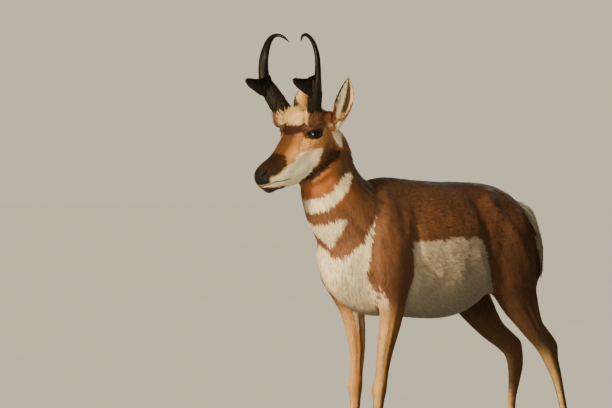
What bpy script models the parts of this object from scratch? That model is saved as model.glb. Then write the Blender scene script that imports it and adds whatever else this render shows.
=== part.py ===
"""Life-size standing pronghorn buck, one solid for each named part of the body.

Metres, +Z up. The animal faces -Y and its left side is +X. The hoof soles lie on Z = 0, and
the origin is under the middle of the whole animal.
"""

import math
import random

import bmesh
import bpy
import numpy as np
from mathutils import Matrix, Vector
from mathutils.bvhtree import BVHTree

# Driving dimensions
GAP = 0.0003
HEAD_PLACE = Vector((0.0, -0.478, 0.998))
HEAD_PITCH = math.radians(25.0)
HEAD_TURN = math.radians(-2.0)
EYE_PLACE = Vector((0.0430, 0.003, 0.002))
EYE_FACES = Vector((0.92, -0.38, 0.05))
EYE_RADIUS = 0.0245
EYE_HALF_LENGTH = 0.0222
EYE_HALF_HEIGHT = 0.0116
LID_THICKNESS = 0.0034
HORN_FOOT = Vector((0.056, -0.004, 0.050))
# Ears: foot, tip, how far they bow outward, and where they open to
EARS = {
    "left": (Vector((0.056, 0.078, 0.027)), Vector((0.094, 0.086, 0.150)), 0.013,
             Vector((0.62, -0.78, 0.05))),
    "right": (Vector((0.052, 0.078, 0.024)), Vector((0.084, 0.104, 0.150)), 0.004,
              Vector((0.95, 0.10, 0.05))),
}
HOOF_TOP = 0.040

# Mesh fineness
BODY_VOXEL = 0.005
HEAD_VOXEL = 0.0028
BODY_TRIANGLES = 4700
HEAD_TRIANGLES = 2400
BLEND_PASSES = 34

# Colour and roughness of each kind of part
FINISHES = {
    "torso": ((0.36, 0.17, 0.075), 0.85),
    "neck": ((0.30, 0.15, 0.070), 0.85),
    "head": ((0.33, 0.17, 0.085), 0.80),
    "tail": ((0.62, 0.50, 0.37), 0.85),
    "leg": ((0.45, 0.26, 0.130), 0.80),
    "ear": ((0.40, 0.27, 0.170), 0.80),
    "horn": ((0.030, 0.024, 0.022), 0.50),
    "hoof": ((0.022, 0.018, 0.016), 0.45),
    "eye": ((0.010, 0.007, 0.006), 0.05),
}

# A lock of hair: share of its length, then of its width and of its thickness
LOCK_SHAPE = [
    (-0.25, 0.70, 0.90),
    (0.15, 1.00, 1.00),
    (0.60, 0.84, 0.72),
    (1.00, 0.14, 0.22),
]
LOCK_DROOP = 0.20
LOCK_SINK = 0.003
# Locks: length, width, thickness and the angle at which they leave the skin
MANE_LOCK = (0.044, 0.0170, 0.0065, 0.28)
RUMP_LOCK = (0.044, 0.0200, 0.0070, 0.50)
CROWN_LOCK = (0.031, 0.0160, 0.0065, 0.32)
TAIL_LOCK = (0.042, 0.0140, 0.0060, 0.26)
# The nape's line that carries the mane, as y and z, from behind the ears down
MANE_LINE = [(-0.314, 0.964), (-0.301, 0.936), (-0.290, 0.912), (-0.276, 0.888)]
MANE_ROWS = 7
# Rows of the rump's hair, as height and how far behind, and places of its locks from the middle
RUMP_ROWS = [(0.786, 0.42), (0.761, 0.44), (0.736, 0.45), (0.711, 0.46), (0.686, 0.46)]
RUMP_PLACES = (0.037, 0.055, 0.073)
# Rows of the tuft between the horns: how far back and up, and its locks from the middle
CROWN_ROWS = [
    (0.010, 0.090, (-0.012, 0.0, 0.012)),
    (-0.008, 0.085, (-0.021, -0.007, 0.007, 0.021)),
    (-0.024, 0.075, (-0.018, -0.006, 0.006, 0.018)),
    (-0.038, 0.062, (-0.012, 0.0, 0.012)),
]
TAIL_ROWS = [(0.742, (-0.010, 0.010)), (0.722, (-0.013, 0.0, 0.013)), (0.700, (-0.008, 0.0, 0.008))]

HEAD_FRAME = (
    Matrix.Translation(HEAD_PLACE)
    @ Matrix.Rotation(HEAD_TURN, 4, "Z")
    @ Matrix.Rotation(HEAD_PITCH, 4, "X")
)
FACING = Matrix.Translation(HEAD_PLACE) @ Matrix.Rotation(HEAD_TURN, 4, "Z")

# Torso sections: place along Y, top, bottom, half-width, height of the widest place,
# squareness of the upper and of the lower half
TORSO = [
    (-0.372, 0.672, 0.605, 0.026, 0.650, 2.0, 1.9),
    (-0.352, 0.738, 0.565, 0.064, 0.662, 2.0, 1.5),
    (-0.305, 0.815, 0.530, 0.090, 0.675, 2.0, 1.5),
    (-0.230, 0.868, 0.503, 0.109, 0.660, 1.8, 1.9),
    (-0.140, 0.880, 0.495, 0.118, 0.655, 1.7, 2.2),
    (-0.040, 0.872, 0.489, 0.130, 0.665, 1.9, 2.2),
    (0.060, 0.866, 0.483, 0.137, 0.660, 2.0, 2.2),
    (0.150, 0.864, 0.497, 0.132, 0.670, 2.0, 2.1),
    (0.230, 0.861, 0.540, 0.122, 0.700, 2.1, 2.0),
    (0.300, 0.849, 0.580, 0.112, 0.715, 2.1, 2.0),
    (0.360, 0.822, 0.610, 0.098, 0.710, 2.0, 2.0),
    (0.405, 0.780, 0.635, 0.075, 0.705, 2.0, 2.0),
    (0.428, 0.742, 0.660, 0.040, 0.700, 2.0, 2.0),
]

# Limb stations: x, y, z, half-depth fore and aft, half-width
NECK = [
    (0.0, -0.165, 0.680, 0.160, 0.100),
    (0.0, -0.235, 0.725, 0.138, 0.097),
    (0.0, -0.300, 0.772, 0.112, 0.088),
    (0.0, -0.347, 0.822, 0.100, 0.075),
    (0.0, -0.374, 0.875, 0.089, 0.065),
    (0.0, -0.389, 0.928, 0.084, 0.058),
    (0.0, -0.405, 0.972, 0.074, 0.054),
    (0.0, -0.420, 1.003, 0.045, 0.040),
]
FORE_LEG = [
    (0.044, -0.150, 0.835, 0.045, 0.018),
    (0.070, -0.170, 0.780, 0.070, 0.030),
    (0.088, -0.202, 0.705, 0.086, 0.036),
    (0.095, -0.222, 0.635, 0.080, 0.036),
    (0.093, -0.207, 0.575, 0.059, 0.033),
    (0.088, -0.197, 0.525, 0.044, 0.029),
    (0.083, -0.196, 0.470, 0.034, 0.025),
    (0.078, -0.203, 0.400, 0.025, 0.0205),
    (0.074, -0.210, 0.340, 0.0195, 0.0175),
    (0.072, -0.216, 0.300, 0.0205, 0.0195),
    (0.070, -0.219, 0.262, 0.0155, 0.0160),
    (0.068, -0.224, 0.180, 0.0125, 0.0135),
    (0.066, -0.228, 0.118, 0.0140, 0.0145),
    (0.065, -0.230, 0.094, 0.0185, 0.0180),
    (0.064, -0.243, 0.064, 0.0155, 0.0170),
    (0.063, -0.253, 0.040, 0.0215, 0.0210),
    (0.063, -0.260, 0.015, 0.0240, 0.0220),
]
# How far each fore foot is set back, growing from the elbow down to the knee
FORE_SWING = {"left": -0.024, "right": 0.034}
SWING_TOP = 0.62
SWING_FULL = 0.40

THIGH = [
    (0.055, 0.240, 0.790, 0.080, 0.040),
    (0.075, 0.265, 0.730, 0.125, 0.050),
    (0.086, 0.283, 0.660, 0.133, 0.048),
    (0.091, 0.300, 0.592, 0.110, 0.042),
]
HIND_SHANKS = {
    "left": [
        (0.090, 0.320, 0.540, 0.074, 0.035),
        (0.087, 0.352, 0.495, 0.053, 0.030),
        (0.083, 0.390, 0.450, 0.038, 0.025),
        (0.079, 0.430, 0.412, 0.030, 0.020),
        (0.076, 0.463, 0.382, 0.0300, 0.0190),
        (0.074, 0.482, 0.350, 0.0260, 0.0180),
        (0.072, 0.505, 0.305, 0.0165, 0.0150),
        (0.070, 0.530, 0.240, 0.0125, 0.0125),
        (0.068, 0.555, 0.165, 0.0120, 0.0130),
        (0.067, 0.569, 0.118, 0.0145, 0.0150),
        (0.067, 0.574, 0.094, 0.0185, 0.0180),
        (0.066, 0.565, 0.064, 0.0155, 0.0170),
        (0.066, 0.557, 0.040, 0.0215, 0.0210),
        (0.066, 0.551, 0.015, 0.0240, 0.0220),
    ],
    "right": [
        (0.090, 0.320, 0.540, 0.076, 0.035),
        (0.086, 0.357, 0.492, 0.058, 0.030),
        (0.082, 0.402, 0.446, 0.044, 0.025),
        (0.078, 0.445, 0.412, 0.035, 0.020),
        (0.075, 0.483, 0.384, 0.0370, 0.0190),
        (0.073, 0.493, 0.350, 0.0330, 0.0180),
        (0.071, 0.487, 0.300, 0.0210, 0.0155),
        (0.069, 0.474, 0.240, 0.0130, 0.0125),
        (0.067, 0.467, 0.165, 0.0120, 0.0130),
        (0.066, 0.462, 0.118, 0.0145, 0.0150),
        (0.066, 0.460, 0.094, 0.0185, 0.0180),
        (0.066, 0.447, 0.064, 0.0155, 0.0170),
        (0.065, 0.437, 0.040, 0.0215, 0.0210),
        (0.065, 0.430, 0.015, 0.0240, 0.0220),
    ],
}
# The heel tendon, from the shank to the point of the hock, behind the shank's own line:
# distance behind it, then half-depth and half-width, at the shank's stations 2 to 4
TENDON = [(0.030, 0.013, 0.009), (0.038, 0.012, 0.010), (0.026, 0.018, 0.013)]

TAIL = [
    (0.0, 0.395, 0.790, 0.026, 0.024),
    (0.0, 0.428, 0.772, 0.018, 0.021),
    (0.0, 0.448, 0.742, 0.013, 0.019),
    (0.0, 0.455, 0.705, 0.011, 0.016),
    (0.0, 0.457, 0.676, 0.006, 0.010),
]

# Head sections: distance forward of the eyes, top, bottom, half-width, widest height,
# squareness of the upper and of the lower half
SKULL = [
    (-0.108, 0.010, -0.030, 0.022, -0.010, 2.0, 2.0),
    (-0.088, 0.034, -0.062, 0.044, -0.012, 2.0, 2.0),
    (-0.055, 0.047, -0.088, 0.054, -0.012, 2.1, 1.9),
    (-0.020, 0.048, -0.104, 0.057, -0.008, 2.2, 1.6),
    (0.015, 0.038, -0.117, 0.053, -0.012, 2.2, 1.45),
    (0.050, 0.018, -0.119, 0.045, -0.024, 2.1, 1.45),
    (0.090, 0.000, -0.112, 0.037, -0.034, 2.0, 1.6),
    (0.122, -0.007, -0.104, 0.0325, -0.042, 2.0, 1.8),
    (0.150, -0.009, -0.097, 0.0310, -0.046, 2.1, 2.0),
    (0.172, -0.013, -0.090, 0.0300, -0.047, 2.2, 2.2),
    (0.187, -0.021, -0.079, 0.0260, -0.047, 2.2, 2.2),
    (0.195, -0.030, -0.067, 0.0185, -0.047, 2.1, 2.1),
    (0.199, -0.039, -0.055, 0.0070, -0.047, 2.0, 2.0),
]

# Swellings on either side of the head, as place and radii: under the horn, the jaw, under the
# ear, above the nostril, and the upper lip
SWELLINGS = [
    (Vector((0.044, 0.016, 0.024)), (0.026, 0.032, 0.027)),
    (Vector((0.034, 0.014, -0.052)), (0.021, 0.050, 0.036)),
    (Vector((0.046, 0.074, 0.009)), (0.021, 0.024, 0.026)),
    (Vector((0.0155, -0.176, -0.032)), (0.0125, 0.015, 0.012)),
    (Vector((0.013, -0.171, -0.061)), (0.0145, 0.018, 0.010)),
]

# Horn beam, outward, forward and up from its foot, then half-length and half-thickness
HORN_BEAM = [
    (-0.004, -0.004, -0.026, 0.0250, 0.0170),
    (0.002, 0.003, 0.006, 0.0262, 0.0170),
    (0.012, 0.012, 0.028, 0.0258, 0.0165),
    (0.025, 0.0205, 0.052, 0.0250, 0.0155),
    (0.038, 0.029, 0.079, 0.0215, 0.0130),
    (0.0470, 0.034, 0.104, 0.0163, 0.0100),
    (0.0490, 0.0355, 0.135, 0.0143, 0.0084),
    (0.0450, 0.0350, 0.165, 0.0128, 0.0075),
    (0.0320, 0.0350, 0.196, 0.0102, 0.0068),
    (0.0150, 0.0345, 0.2135, 0.0084, 0.0062),
    (-0.0040, 0.0320, 0.2185, 0.0068, 0.0054),
    (-0.0215, 0.0260, 0.2125, 0.0048, 0.0042),
    (-0.0360, 0.0165, 0.1970, 0.0012, 0.0012),
]
HORN_TOE_OUT = math.radians(38.0)
# Prong, the same way, then half-height and half-thickness
HORN_PRONG = [
    (0.034, 0.022, 0.0810, 0.0330, 0.0095),
    (0.034, 0.040, 0.0790, 0.0305, 0.0090),
    (0.034, 0.060, 0.0795, 0.0240, 0.0082),
    (0.034, 0.078, 0.0835, 0.0185, 0.0072),
    (0.0345, 0.096, 0.0890, 0.0142, 0.0062),
    (0.0350, 0.109, 0.0940, 0.0098, 0.0050),
    (0.0350, 0.117, 0.0965, 0.0042, 0.0027),
]


# Ear stations: share of its length, radius of the cup, how far it wraps, thickness
EAR_CUP = [
    (-0.10, 0.0135, 165.0, 0.0042),
    (0.08, 0.0150, 158.0, 0.0040),
    (0.22, 0.0190, 128.0, 0.0036),
    (0.38, 0.0224, 106.0, 0.0032),
    (0.54, 0.0232, 92.0, 0.0030),
    (0.70, 0.0206, 83.0, 0.0027),
    (0.84, 0.0150, 76.0, 0.0024),
    (0.94, 0.0080, 72.0, 0.0019),
    (1.00, 0.0026, 68.0, 0.0010),
]

# Claw stations: height as a share of the hoof, then heel, toe and outer side from its middle
CLAW = [
    (0.0, 0.026, -0.047, 0.0245),
    (0.25, 0.0255, -0.040, 0.0242),
    (0.60, 0.0240, -0.031, 0.0232),
    (1.0, 0.0215, -0.0225, 0.0216),
]
CLAW_INNER = 0.0009
CLAW_WIDEST = 0.38
CLAW_OUTLINE = [0.0, 0.12, 0.30, 0.50, 0.70, 0.88, 1.0]

# The nostril's line on the muzzle: x, y and z, then its half-depth and half-width
NOSTRIL = [
    (0.0125, -0.1925, -0.0355, 0.0020, 0.0016),
    (0.0145, -0.1885, -0.0330, 0.0046, 0.0030),
    (0.0190, -0.1810, -0.0290, 0.0048, 0.0034),
    (0.0245, -0.1730, -0.0260, 0.0034, 0.0024),
    (0.0275, -0.1670, -0.0250, 0.0016, 0.0012),
]

# The mouth line, forward of the eyes and up, from its corner to the front of the lips
MOUTH_SIDE = [(0.113, -0.079), (0.126, -0.0758), (0.140, -0.0720), (0.153, -0.0680)]
MOUTH_FRONT = (0.158, -0.0630)
MOUTH_DEPTH = 0.0040
MOUTH_HALF_GAP = 0.0011

# The cut between the head and the neck, from the throat up to the nape behind the ears
THROAT = Vector((0.0, -0.480, 0.875))
NAPE = Vector((0.0, -0.340, 0.975))
# Cuts between the torso and what it carries: middle, normal, radius across and along
NECK_CUT = (Vector((0.0, -0.272, 0.790)), Vector((0.0, -0.65, 0.76)), 0.22, 0.22)
FORE_CUT = (Vector((0.087, -0.200, 0.490)), Vector((0.0, 0.0, 1.0)), 0.062, 0.075)
HIND_CUT = (Vector((0.094, 0.330, 0.535)), Vector((0.0, -0.6, 0.8)), 0.056, 0.115)


def finish(part):
    """Gives the part a plain Principled material of its own."""
    colour, roughness = FINISHES[part.name.split("_")[0]]
    made = bpy.data.materials.new(part.name)
    made.use_nodes = True
    shader = made.node_tree.nodes["Principled BSDF"]
    shader.inputs["Base Color"].default_value = (*colour, 1.0)
    shader.inputs["Roughness"].default_value = roughness
    shader.inputs["Metallic"].default_value = 0.0
    part.data.materials.clear()
    part.data.materials.append(made)


def smooth_rows(rows, steps):
    """The rows of a table, and more between them on a smooth curve through them."""
    rows = np.array(rows, float)
    last = len(rows) - 1
    made = []
    for i in range(last):
        before, start, end, after = rows[[max(i - 1, 0), i, i + 1, min(i + 2, last)]]
        for t in np.arange(steps) / steps:
            bend = 2 * before - 5 * start + 4 * end - after
            twist = 3 * start - before - 3 * end + after
            made.append(start + 0.5 * ((end - before) * t + bend * t**2 + twist * t**3))
    made.append(rows[-1])
    return made


def oval(sides, half_width, up, down, square_up=2.0, square_down=2.0):
    """Points of a section, as (across, upward) pairs: an ellipse, or squarer than one."""
    points = []
    for angle in np.arange(sides) * 2 * math.pi / sides:
        across, rise = math.cos(angle), math.sin(angle)
        power = 2 / (square_up if rise > 0 else square_down)
        reach = up if rise > 0 else down
        points.append((
            half_width * math.copysign(abs(across) ** power, across),
            reach * math.copysign(abs(rise) ** power, rise),
        ))
    return points


def mirrored(place, sign):
    """The place, or its mirror image on the right of the animal where the sign is -1."""
    return Vector((sign * place.x, place.y, place.z))


def mesh_object(name, mesh_data):
    """An object in the scene that holds the bmesh, which is freed."""
    mesh = bpy.data.meshes.new(name)
    bmesh.ops.recalc_face_normals(mesh_data, faces=mesh_data.faces)
    if mesh_data.calc_volume(signed=True) < 0:
        bmesh.ops.reverse_faces(mesh_data, faces=mesh_data.faces)
    mesh_data.to_mesh(mesh)
    mesh_data.free()
    made = bpy.data.objects.new(name, mesh)
    bpy.context.scene.collection.objects.link(made)
    return made


def loft(name, rings):
    """A closed body through rings of points, with flat ends."""
    shell = bmesh.new()
    loops = [[shell.verts.new(p) for p in ring] for ring in rings]
    sides = len(loops[0])
    for near, far in zip(loops, loops[1:]):
        for i in range(sides):
            k = (i + 1) % sides
            shell.faces.new((near[i], near[k], far[k], far[i]))
    shell.faces.new(loops[0])
    shell.faces.new(reversed(loops[-1]))
    bmesh.ops.triangulate(shell, faces=shell.faces)
    return mesh_object(name, shell)


def body_of_sections(name, rows, sides, steps, frame=None, forward=1.0):
    """A closed body through upright sections, for the torso and the head."""
    rings = []
    for place, top, bottom, half, wide, square_up, square_down in smooth_rows(rows, steps):
        ring = []
        for across, rise in oval(sides, half, top - wide, wide - bottom, square_up, square_down):
            point = Vector((across, place * forward, wide + rise))
            ring.append(frame @ point if frame else point)
        rings.append(ring)
    return loft(name, rings)


def limb(name, rows, sides=16, steps=4, side=1.0, deep=Vector((0.0, -1.0, 0.0)), frame=None):
    """A closed body along a bent line, with oval sections square to it.

    Each row holds x, y and z, then the half-depth of the section along deep, and the
    half-width across it. side is -1 for the right of the body.
    """
    table = smooth_rows(rows, steps)
    line = [Vector((side * r[0], r[1], r[2])) for r in table]
    axis = Vector((side * deep.x, deep.y, deep.z))
    rings = []
    for i, row in enumerate(table):
        along = (line[min(i + 1, len(line) - 1)] - line[max(i - 1, 0)]).normalized()
        fore = (axis - axis.dot(along) * along).normalized()
        wide = along.cross(fore)
        ring = [line[i] + fore * a + wide * b for a, b in oval(sides, row[3], row[4], row[4])]
        rings.append([frame @ p for p in ring] if frame else ring)
    return loft(name, rings)


def ball(name, centre, radii, frame=Matrix.Identity(4)):
    """A closed egg shape of three radii."""
    shell = bmesh.new()
    bmesh.ops.create_icosphere(shell, subdivisions=3, radius=1.0)
    shell.transform(frame @ Matrix.Translation(centre) @ Matrix.Diagonal((*radii, 1.0)))
    return mesh_object(name, shell)


def disc(name, centre, normal, across, along, side=1.0):
    """A round plate as thick as the gap that touching parts keep."""
    shell = bmesh.new()
    bmesh.ops.create_cone(
        shell, cap_ends=True, cap_tris=True, segments=20, radius1=1.0, radius2=1.0, depth=GAP
    )
    turn = normal.to_track_quat("Z", "Y").to_matrix().to_4x4()
    shell.transform(turn @ Matrix.Diagonal((across, along, 1.0, 1.0)))
    shell.transform(Matrix.Translation(Vector((side * centre.x, centre.y, centre.z))))
    return mesh_object(name, shell)


def applied(target):
    """The object with its modifiers made part of its mesh."""
    graph = bpy.context.evaluated_depsgraph_get()
    mesh = bpy.data.meshes.new_from_object(target.evaluated_get(graph))
    target.modifiers.clear()
    target.data = mesh
    return target


def remove(objects):
    """Takes helper objects out of the file."""
    for helper in objects:
        bpy.data.objects.remove(helper)


def vertex_array(target):
    """The mesh's vertices as rows."""
    points = np.zeros(len(target.data.vertices) * 3, np.float32)
    target.data.vertices.foreach_get("co", points)
    return points.reshape(-1, 3).astype(float)


def relax(target, weights, passes):
    """Smooths the mesh, each vertex by its own weight from 0 to 1."""
    points = vertex_array(target)
    ends = np.zeros(len(target.data.edges) * 2, np.int32)
    target.data.edges.foreach_get("vertices", ends)
    one, two = ends[::2], ends[1::2]
    count = np.bincount(ends, minlength=len(points))[:, None]
    for _ in range(passes):
        total = np.zeros_like(points)
        for axis in range(3):
            total[:, axis] = np.bincount(one, points[two, axis], len(points))
            total[:, axis] += np.bincount(two, points[one, axis], len(points))
        points += 0.5 * weights[:, None] * (total / count - points)
    target.data.vertices.foreach_set("co", points.astype(np.float32).ravel())
    target.data.update()


def fuse(name, pieces, voxel, blend, triangles, fine=()):
    """Joins closed pieces into one skin, with a soft hollow of about blend where they meet.

    fine lists the places, each with its reach, that keep more of the triangles.
    """
    trees = [BVHTree.FromObject(p, bpy.context.evaluated_depsgraph_get()) for p in pieces]
    shell = bmesh.new()
    for piece in pieces:
        shell.from_mesh(piece.data)
    joined = mesh_object(name, shell)
    remove(pieces)
    remesh = joined.modifiers.new("remesh", "REMESH")
    remesh.mode = "VOXEL"
    remesh.voxel_size = voxel
    applied(joined)
    weights = []
    for point in vertex_array(joined):
        near = sorted((t.find_nearest(point, blend)[3] or blend) for t in trees)
        weights.append(1.0 - (near[1] / blend if len(near) > 1 else 1.0))
    relax(joined, np.array(weights), BLEND_PASSES)
    relax(joined, np.full(len(weights), 0.5), 3)
    if fine:
        group = joined.vertex_groups.new(name="fine")
        for i, point in enumerate(vertex_array(joined)):
            near = min((Vector(point) - place).length / reach for place, reach in fine)
            group.add([i], max(0.0, 1.0 - near), "REPLACE")
    thin = joined.modifiers.new("thin", "DECIMATE")
    thin.ratio = triangles / (2.0 * len(joined.data.polygons))
    if fine:
        thin.vertex_group = "fine"
        thin.vertex_group_factor = 0.12
        thin.invert_vertex_group = True
    applied(joined)
    joined.vertex_groups.clear()
    return joined


def cut_away(target, point, normal):
    """Takes off what lies on the normal's side of a plane, and closes the cut."""
    shell = bmesh.new()
    shell.from_mesh(target.data)
    geometry = shell.verts[:] + shell.edges[:] + shell.faces[:]
    cut = bmesh.ops.bisect_plane(
        shell, geom=geometry, plane_co=point, plane_no=normal, clear_outer=True, dist=1e-7
    )
    rim = [e for e in cut["geom_cut"] if isinstance(e, bmesh.types.BMEdge)]
    bmesh.ops.holes_fill(shell, edges=rim, sides=0)
    bmesh.ops.triangulate(shell, faces=shell.faces)
    shell.to_mesh(target.data)
    shell.free()


def boolean(target, others, operation):
    """One Boolean of the target with all the other objects, which are then removed."""
    group = bpy.data.collections.new("tools")
    for other in others:
        group.objects.link(other)
    step = target.modifiers.new("join", "BOOLEAN")
    step.operation = operation
    step.operand_type = "COLLECTION"
    step.collection = group
    step.solver = "EXACT"
    applied(target)
    bpy.data.collections.remove(group)
    remove(others)
    return target


def loose_bodies(target):
    """The closed bodies of a mesh as lists of face indices, the largest first."""
    mesh = target.data
    parent = list(range(len(mesh.vertices)))

    def root(i):
        while parent[i] != i:
            parent[i] = parent[parent[i]]
            i = parent[i]
        return i

    for edge in mesh.edges:
        one, two = edge.vertices
        parent[root(one)] = root(two)
    found = {}
    for face in mesh.polygons:
        found.setdefault(root(face.vertices[0]), []).append(face.index)
    return sorted(found.values(), key=len, reverse=True)


def extract(name, target, faces):
    """A new object with these faces of the target."""
    keep = set(faces)
    shell = bmesh.new()
    shell.from_mesh(target.data)
    shell.faces.ensure_lookup_table()
    drop = [f for f in shell.faces if f.index not in keep]
    bmesh.ops.delete(shell, geom=drop, context="FACES")
    mesh = bpy.data.meshes.new(name)
    shell.to_mesh(mesh)
    shell.free()
    made = bpy.data.objects.new(name, mesh)
    bpy.context.scene.collection.objects.link(made)
    return made


def keep_largest(target):
    """Leaves only the largest closed body of the mesh."""
    bodies = loose_bodies(target)
    if len(bodies) > 1:
        shell = bmesh.new()
        shell.from_mesh(target.data)
        shell.faces.ensure_lookup_table()
        drop = [shell.faces[i] for body in bodies[1:] for i in body]
        bmesh.ops.delete(shell, geom=drop, context="FACES")
        shell.to_mesh(target.data)
        shell.free()
    return target


def swollen(target, amount):
    """A copy of the object, grown along its normals."""
    mesh = target.data.copy()
    normals = [v.normal.copy() for v in mesh.vertices]
    for vertex, normal in zip(mesh.vertices, normals):
        vertex.co += normal * amount
    made = bpy.data.objects.new(target.name + "_swollen", mesh)
    bpy.context.scene.collection.objects.link(made)
    return made


def fitted(target, neighbour):
    """The target with what its neighbour fills taken off, and the gap between them."""
    return keep_largest(boolean(target, [swollen(neighbour, GAP * 1.3)], "DIFFERENCE"))


def lock(root, way, out, length, width, thick):
    """One flat tapered lock of hair, that leaves the skin and bends back along it."""
    across = way.cross(out).normalized()
    flat = across.cross(way)
    rings = []
    for share, wide, deep in LOCK_SHAPE:
        middle = root + way * length * share - flat * length * LOCK_DROOP * share * share
        side = across * width * wide / 2
        face = flat * thick * deep / 2
        rings.append([middle + side, middle + face, middle - side, middle - face])
    return loft("lock", rings)


def haired(target, spots, shape, seed):
    """The target with locks of hair grown from it.

    spots hold a place near the skin and the way the hair lies there.
    """
    chance = random.Random(seed)
    length, width, thick, lift = shape
    tree = BVHTree.FromObject(target, bpy.context.evaluated_depsgraph_get())
    locks = []
    for place, lie in spots:
        root, out = tree.find_nearest(place)[:2]
        lie = (lie - lie.dot(out) * out).normalized()
        lie = Matrix.Rotation(chance.uniform(-0.16, 0.16), 3, out) @ lie
        angle = lift * chance.uniform(0.85, 1.15)
        way = lie * math.cos(angle) + out * math.sin(angle)
        size = chance.uniform(0.86, 1.14)
        root = root - out * LOCK_SINK
        locks.append(lock(root, way, out, length * size, width * chance.uniform(0.9, 1.1), thick))
    return keep_largest(boolean(target, locks, "UNION"))


def mane_spots():
    """Where the mane's locks stand on the nape, lying back towards the shoulders."""
    line = [Vector((0.0, y, z)) for y, z in MANE_LINE]
    spots = []
    for row in range(MANE_ROWS):
        place = row * (len(line) - 1) / (MANE_ROWS - 1)
        k = min(int(place), len(line) - 2)
        middle = line[k].lerp(line[k + 1], place - k)
        lie = (line[k + 1] - line[k]).normalized()
        for x in ((-0.017, 0.0, 0.017) if row % 2 else (-0.0255, -0.0085, 0.0085, 0.0255)):
            spots.append((middle + Vector((x, 0.0, 0.0)), lie + Vector((x * 8.0, 0.0, 0.0))))
    return spots


def rump_spots():
    """Where the locks of the rump's white hair stand, lying outward round the tail."""
    spots = []
    for row, (z, y) in enumerate(RUMP_ROWS):
        for x in RUMP_PLACES:
            for sign in (1.0, -1.0):
                place = Vector((sign * (x + 0.004 * (row % 2)), y, z))
                spots.append((place, Vector((sign * (0.55 + 6.0 * x), 0.3, -0.55))))
    return spots


def crown_spots():
    """Where the locks of the tuft between the horns stand, falling over the forehead."""
    turn = HEAD_FRAME.to_3x3()
    spots = []
    for y, z, places in CROWN_ROWS:
        for x in places:
            spots.append((HEAD_FRAME @ Vector((x, y, z)), turn @ Vector((x * 9.0, -1.0, -0.45))))
    return spots


def tail_spots():
    """Where the locks of the tail stand, hanging down behind it."""
    spots = []
    for z, places in TAIL_ROWS:
        for x in places:
            spots.append((Vector((x, 0.50, z)), Vector((x * 7.0, 0.12, -1.0))))
    return spots


def fore_leg(side):
    """The rows of one fore leg, with its foot set forward or back."""
    rows = []
    for x, y, z, deep, wide in FORE_LEG:
        share = min(max((SWING_TOP - z) / (SWING_TOP - SWING_FULL), 0.0), 1.0)
        rows.append((x, y + share * FORE_SWING[side], z, deep, wide))
    return rows


def heel_tendon(shank):
    """The rows of the tendon that runs down to the point of the hock."""
    rows = [(shank[1][0], shank[1][1] + 0.022, shank[1][2] - 0.010, 0.014, 0.009)]
    for (x, y, z, _, _), (back, deep, wide) in zip(shank[2:5], TENDON):
        rows.append((x, y + back, z + 0.010, deep, wide))
    rows.append((shank[5][0], shank[5][1] + 0.012, shank[5][2] + 0.006, 0.008, 0.009))
    return rows


def body_pieces():
    """The pieces that make the torso, neck and legs, all of them overlapping."""
    pieces = [
        body_of_sections("torso", TORSO, 40, 4),
        limb("neck", NECK, 28, 5),
        body_of_sections("skull", SKULL, 28, 3, HEAD_FRAME, -1.0),
        ball("rump", Vector((0.0, 0.395, 0.725)), (0.082, 0.045, 0.085)),
    ]
    for side, sign in (("left", 1.0), ("right", -1.0)):
        shank = HIND_SHANKS[side]
        pieces += [
            limb("fore_leg", fore_leg(side), 18, 4, sign),
            limb("hind_leg", THIGH + shank, 18, 4, sign),
            limb("tendon", heel_tendon(shank), 12, 3, sign),
        ]
    return pieces


def head_pieces():
    """The pieces that make the head with the upper neck."""
    pieces = [
        body_of_sections("skull", SKULL, 40, 5, HEAD_FRAME, -1.0),
        limb("neck", NECK[2:], 32, 5),
        ball("chin", Vector((0.0, -0.166, -0.084)), (0.018, 0.020, 0.0125), HEAD_FRAME),
        ball("crown", Vector((0.0, 0.025, 0.030)), (0.040, 0.055, 0.026), HEAD_FRAME),
        ball("poll", Vector((0.0, 0.064, 0.050)), (0.038, 0.032, 0.022), FACING),
        ball("crest", Vector((0.0, 0.004, 0.044)), (0.028, 0.025, 0.024), HEAD_FRAME),
    ]
    orbit = EYE_RADIUS + LID_THICKNESS
    for sign in (1.0, -1.0):
        pieces.append(ball("orbit", mirrored(EYE_PLACE, sign), (orbit, orbit, orbit), HEAD_FRAME))
        for centre, radii in SWELLINGS:
            pieces.append(ball("swelling", mirrored(centre, sign), radii, HEAD_FRAME))
    return pieces


def fine_places():
    """Where the head keeps more triangles: the eyes, the nostrils and the lips."""
    places = [(HEAD_FRAME @ Vector((0.0, -0.182, -0.050)), 0.055)]
    for sign in (1.0, -1.0):
        places.append((HEAD_FRAME @ Vector((sign * 0.060, EYE_PLACE.y, EYE_PLACE.z)), 0.040))
        places.append((HEAD_FRAME @ Vector((sign * 0.025, -0.140, -0.070)), 0.030))
    return places


def head_cut():
    """A point of the cut under the head, and its normal, which points down and back."""
    normal = (NAPE - THROAT).cross(Vector((1.0, 0.0, 0.0))).normalized()
    if normal.z > 0:
        normal.negate()
    return (THROAT + NAPE) / 2, normal


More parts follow.
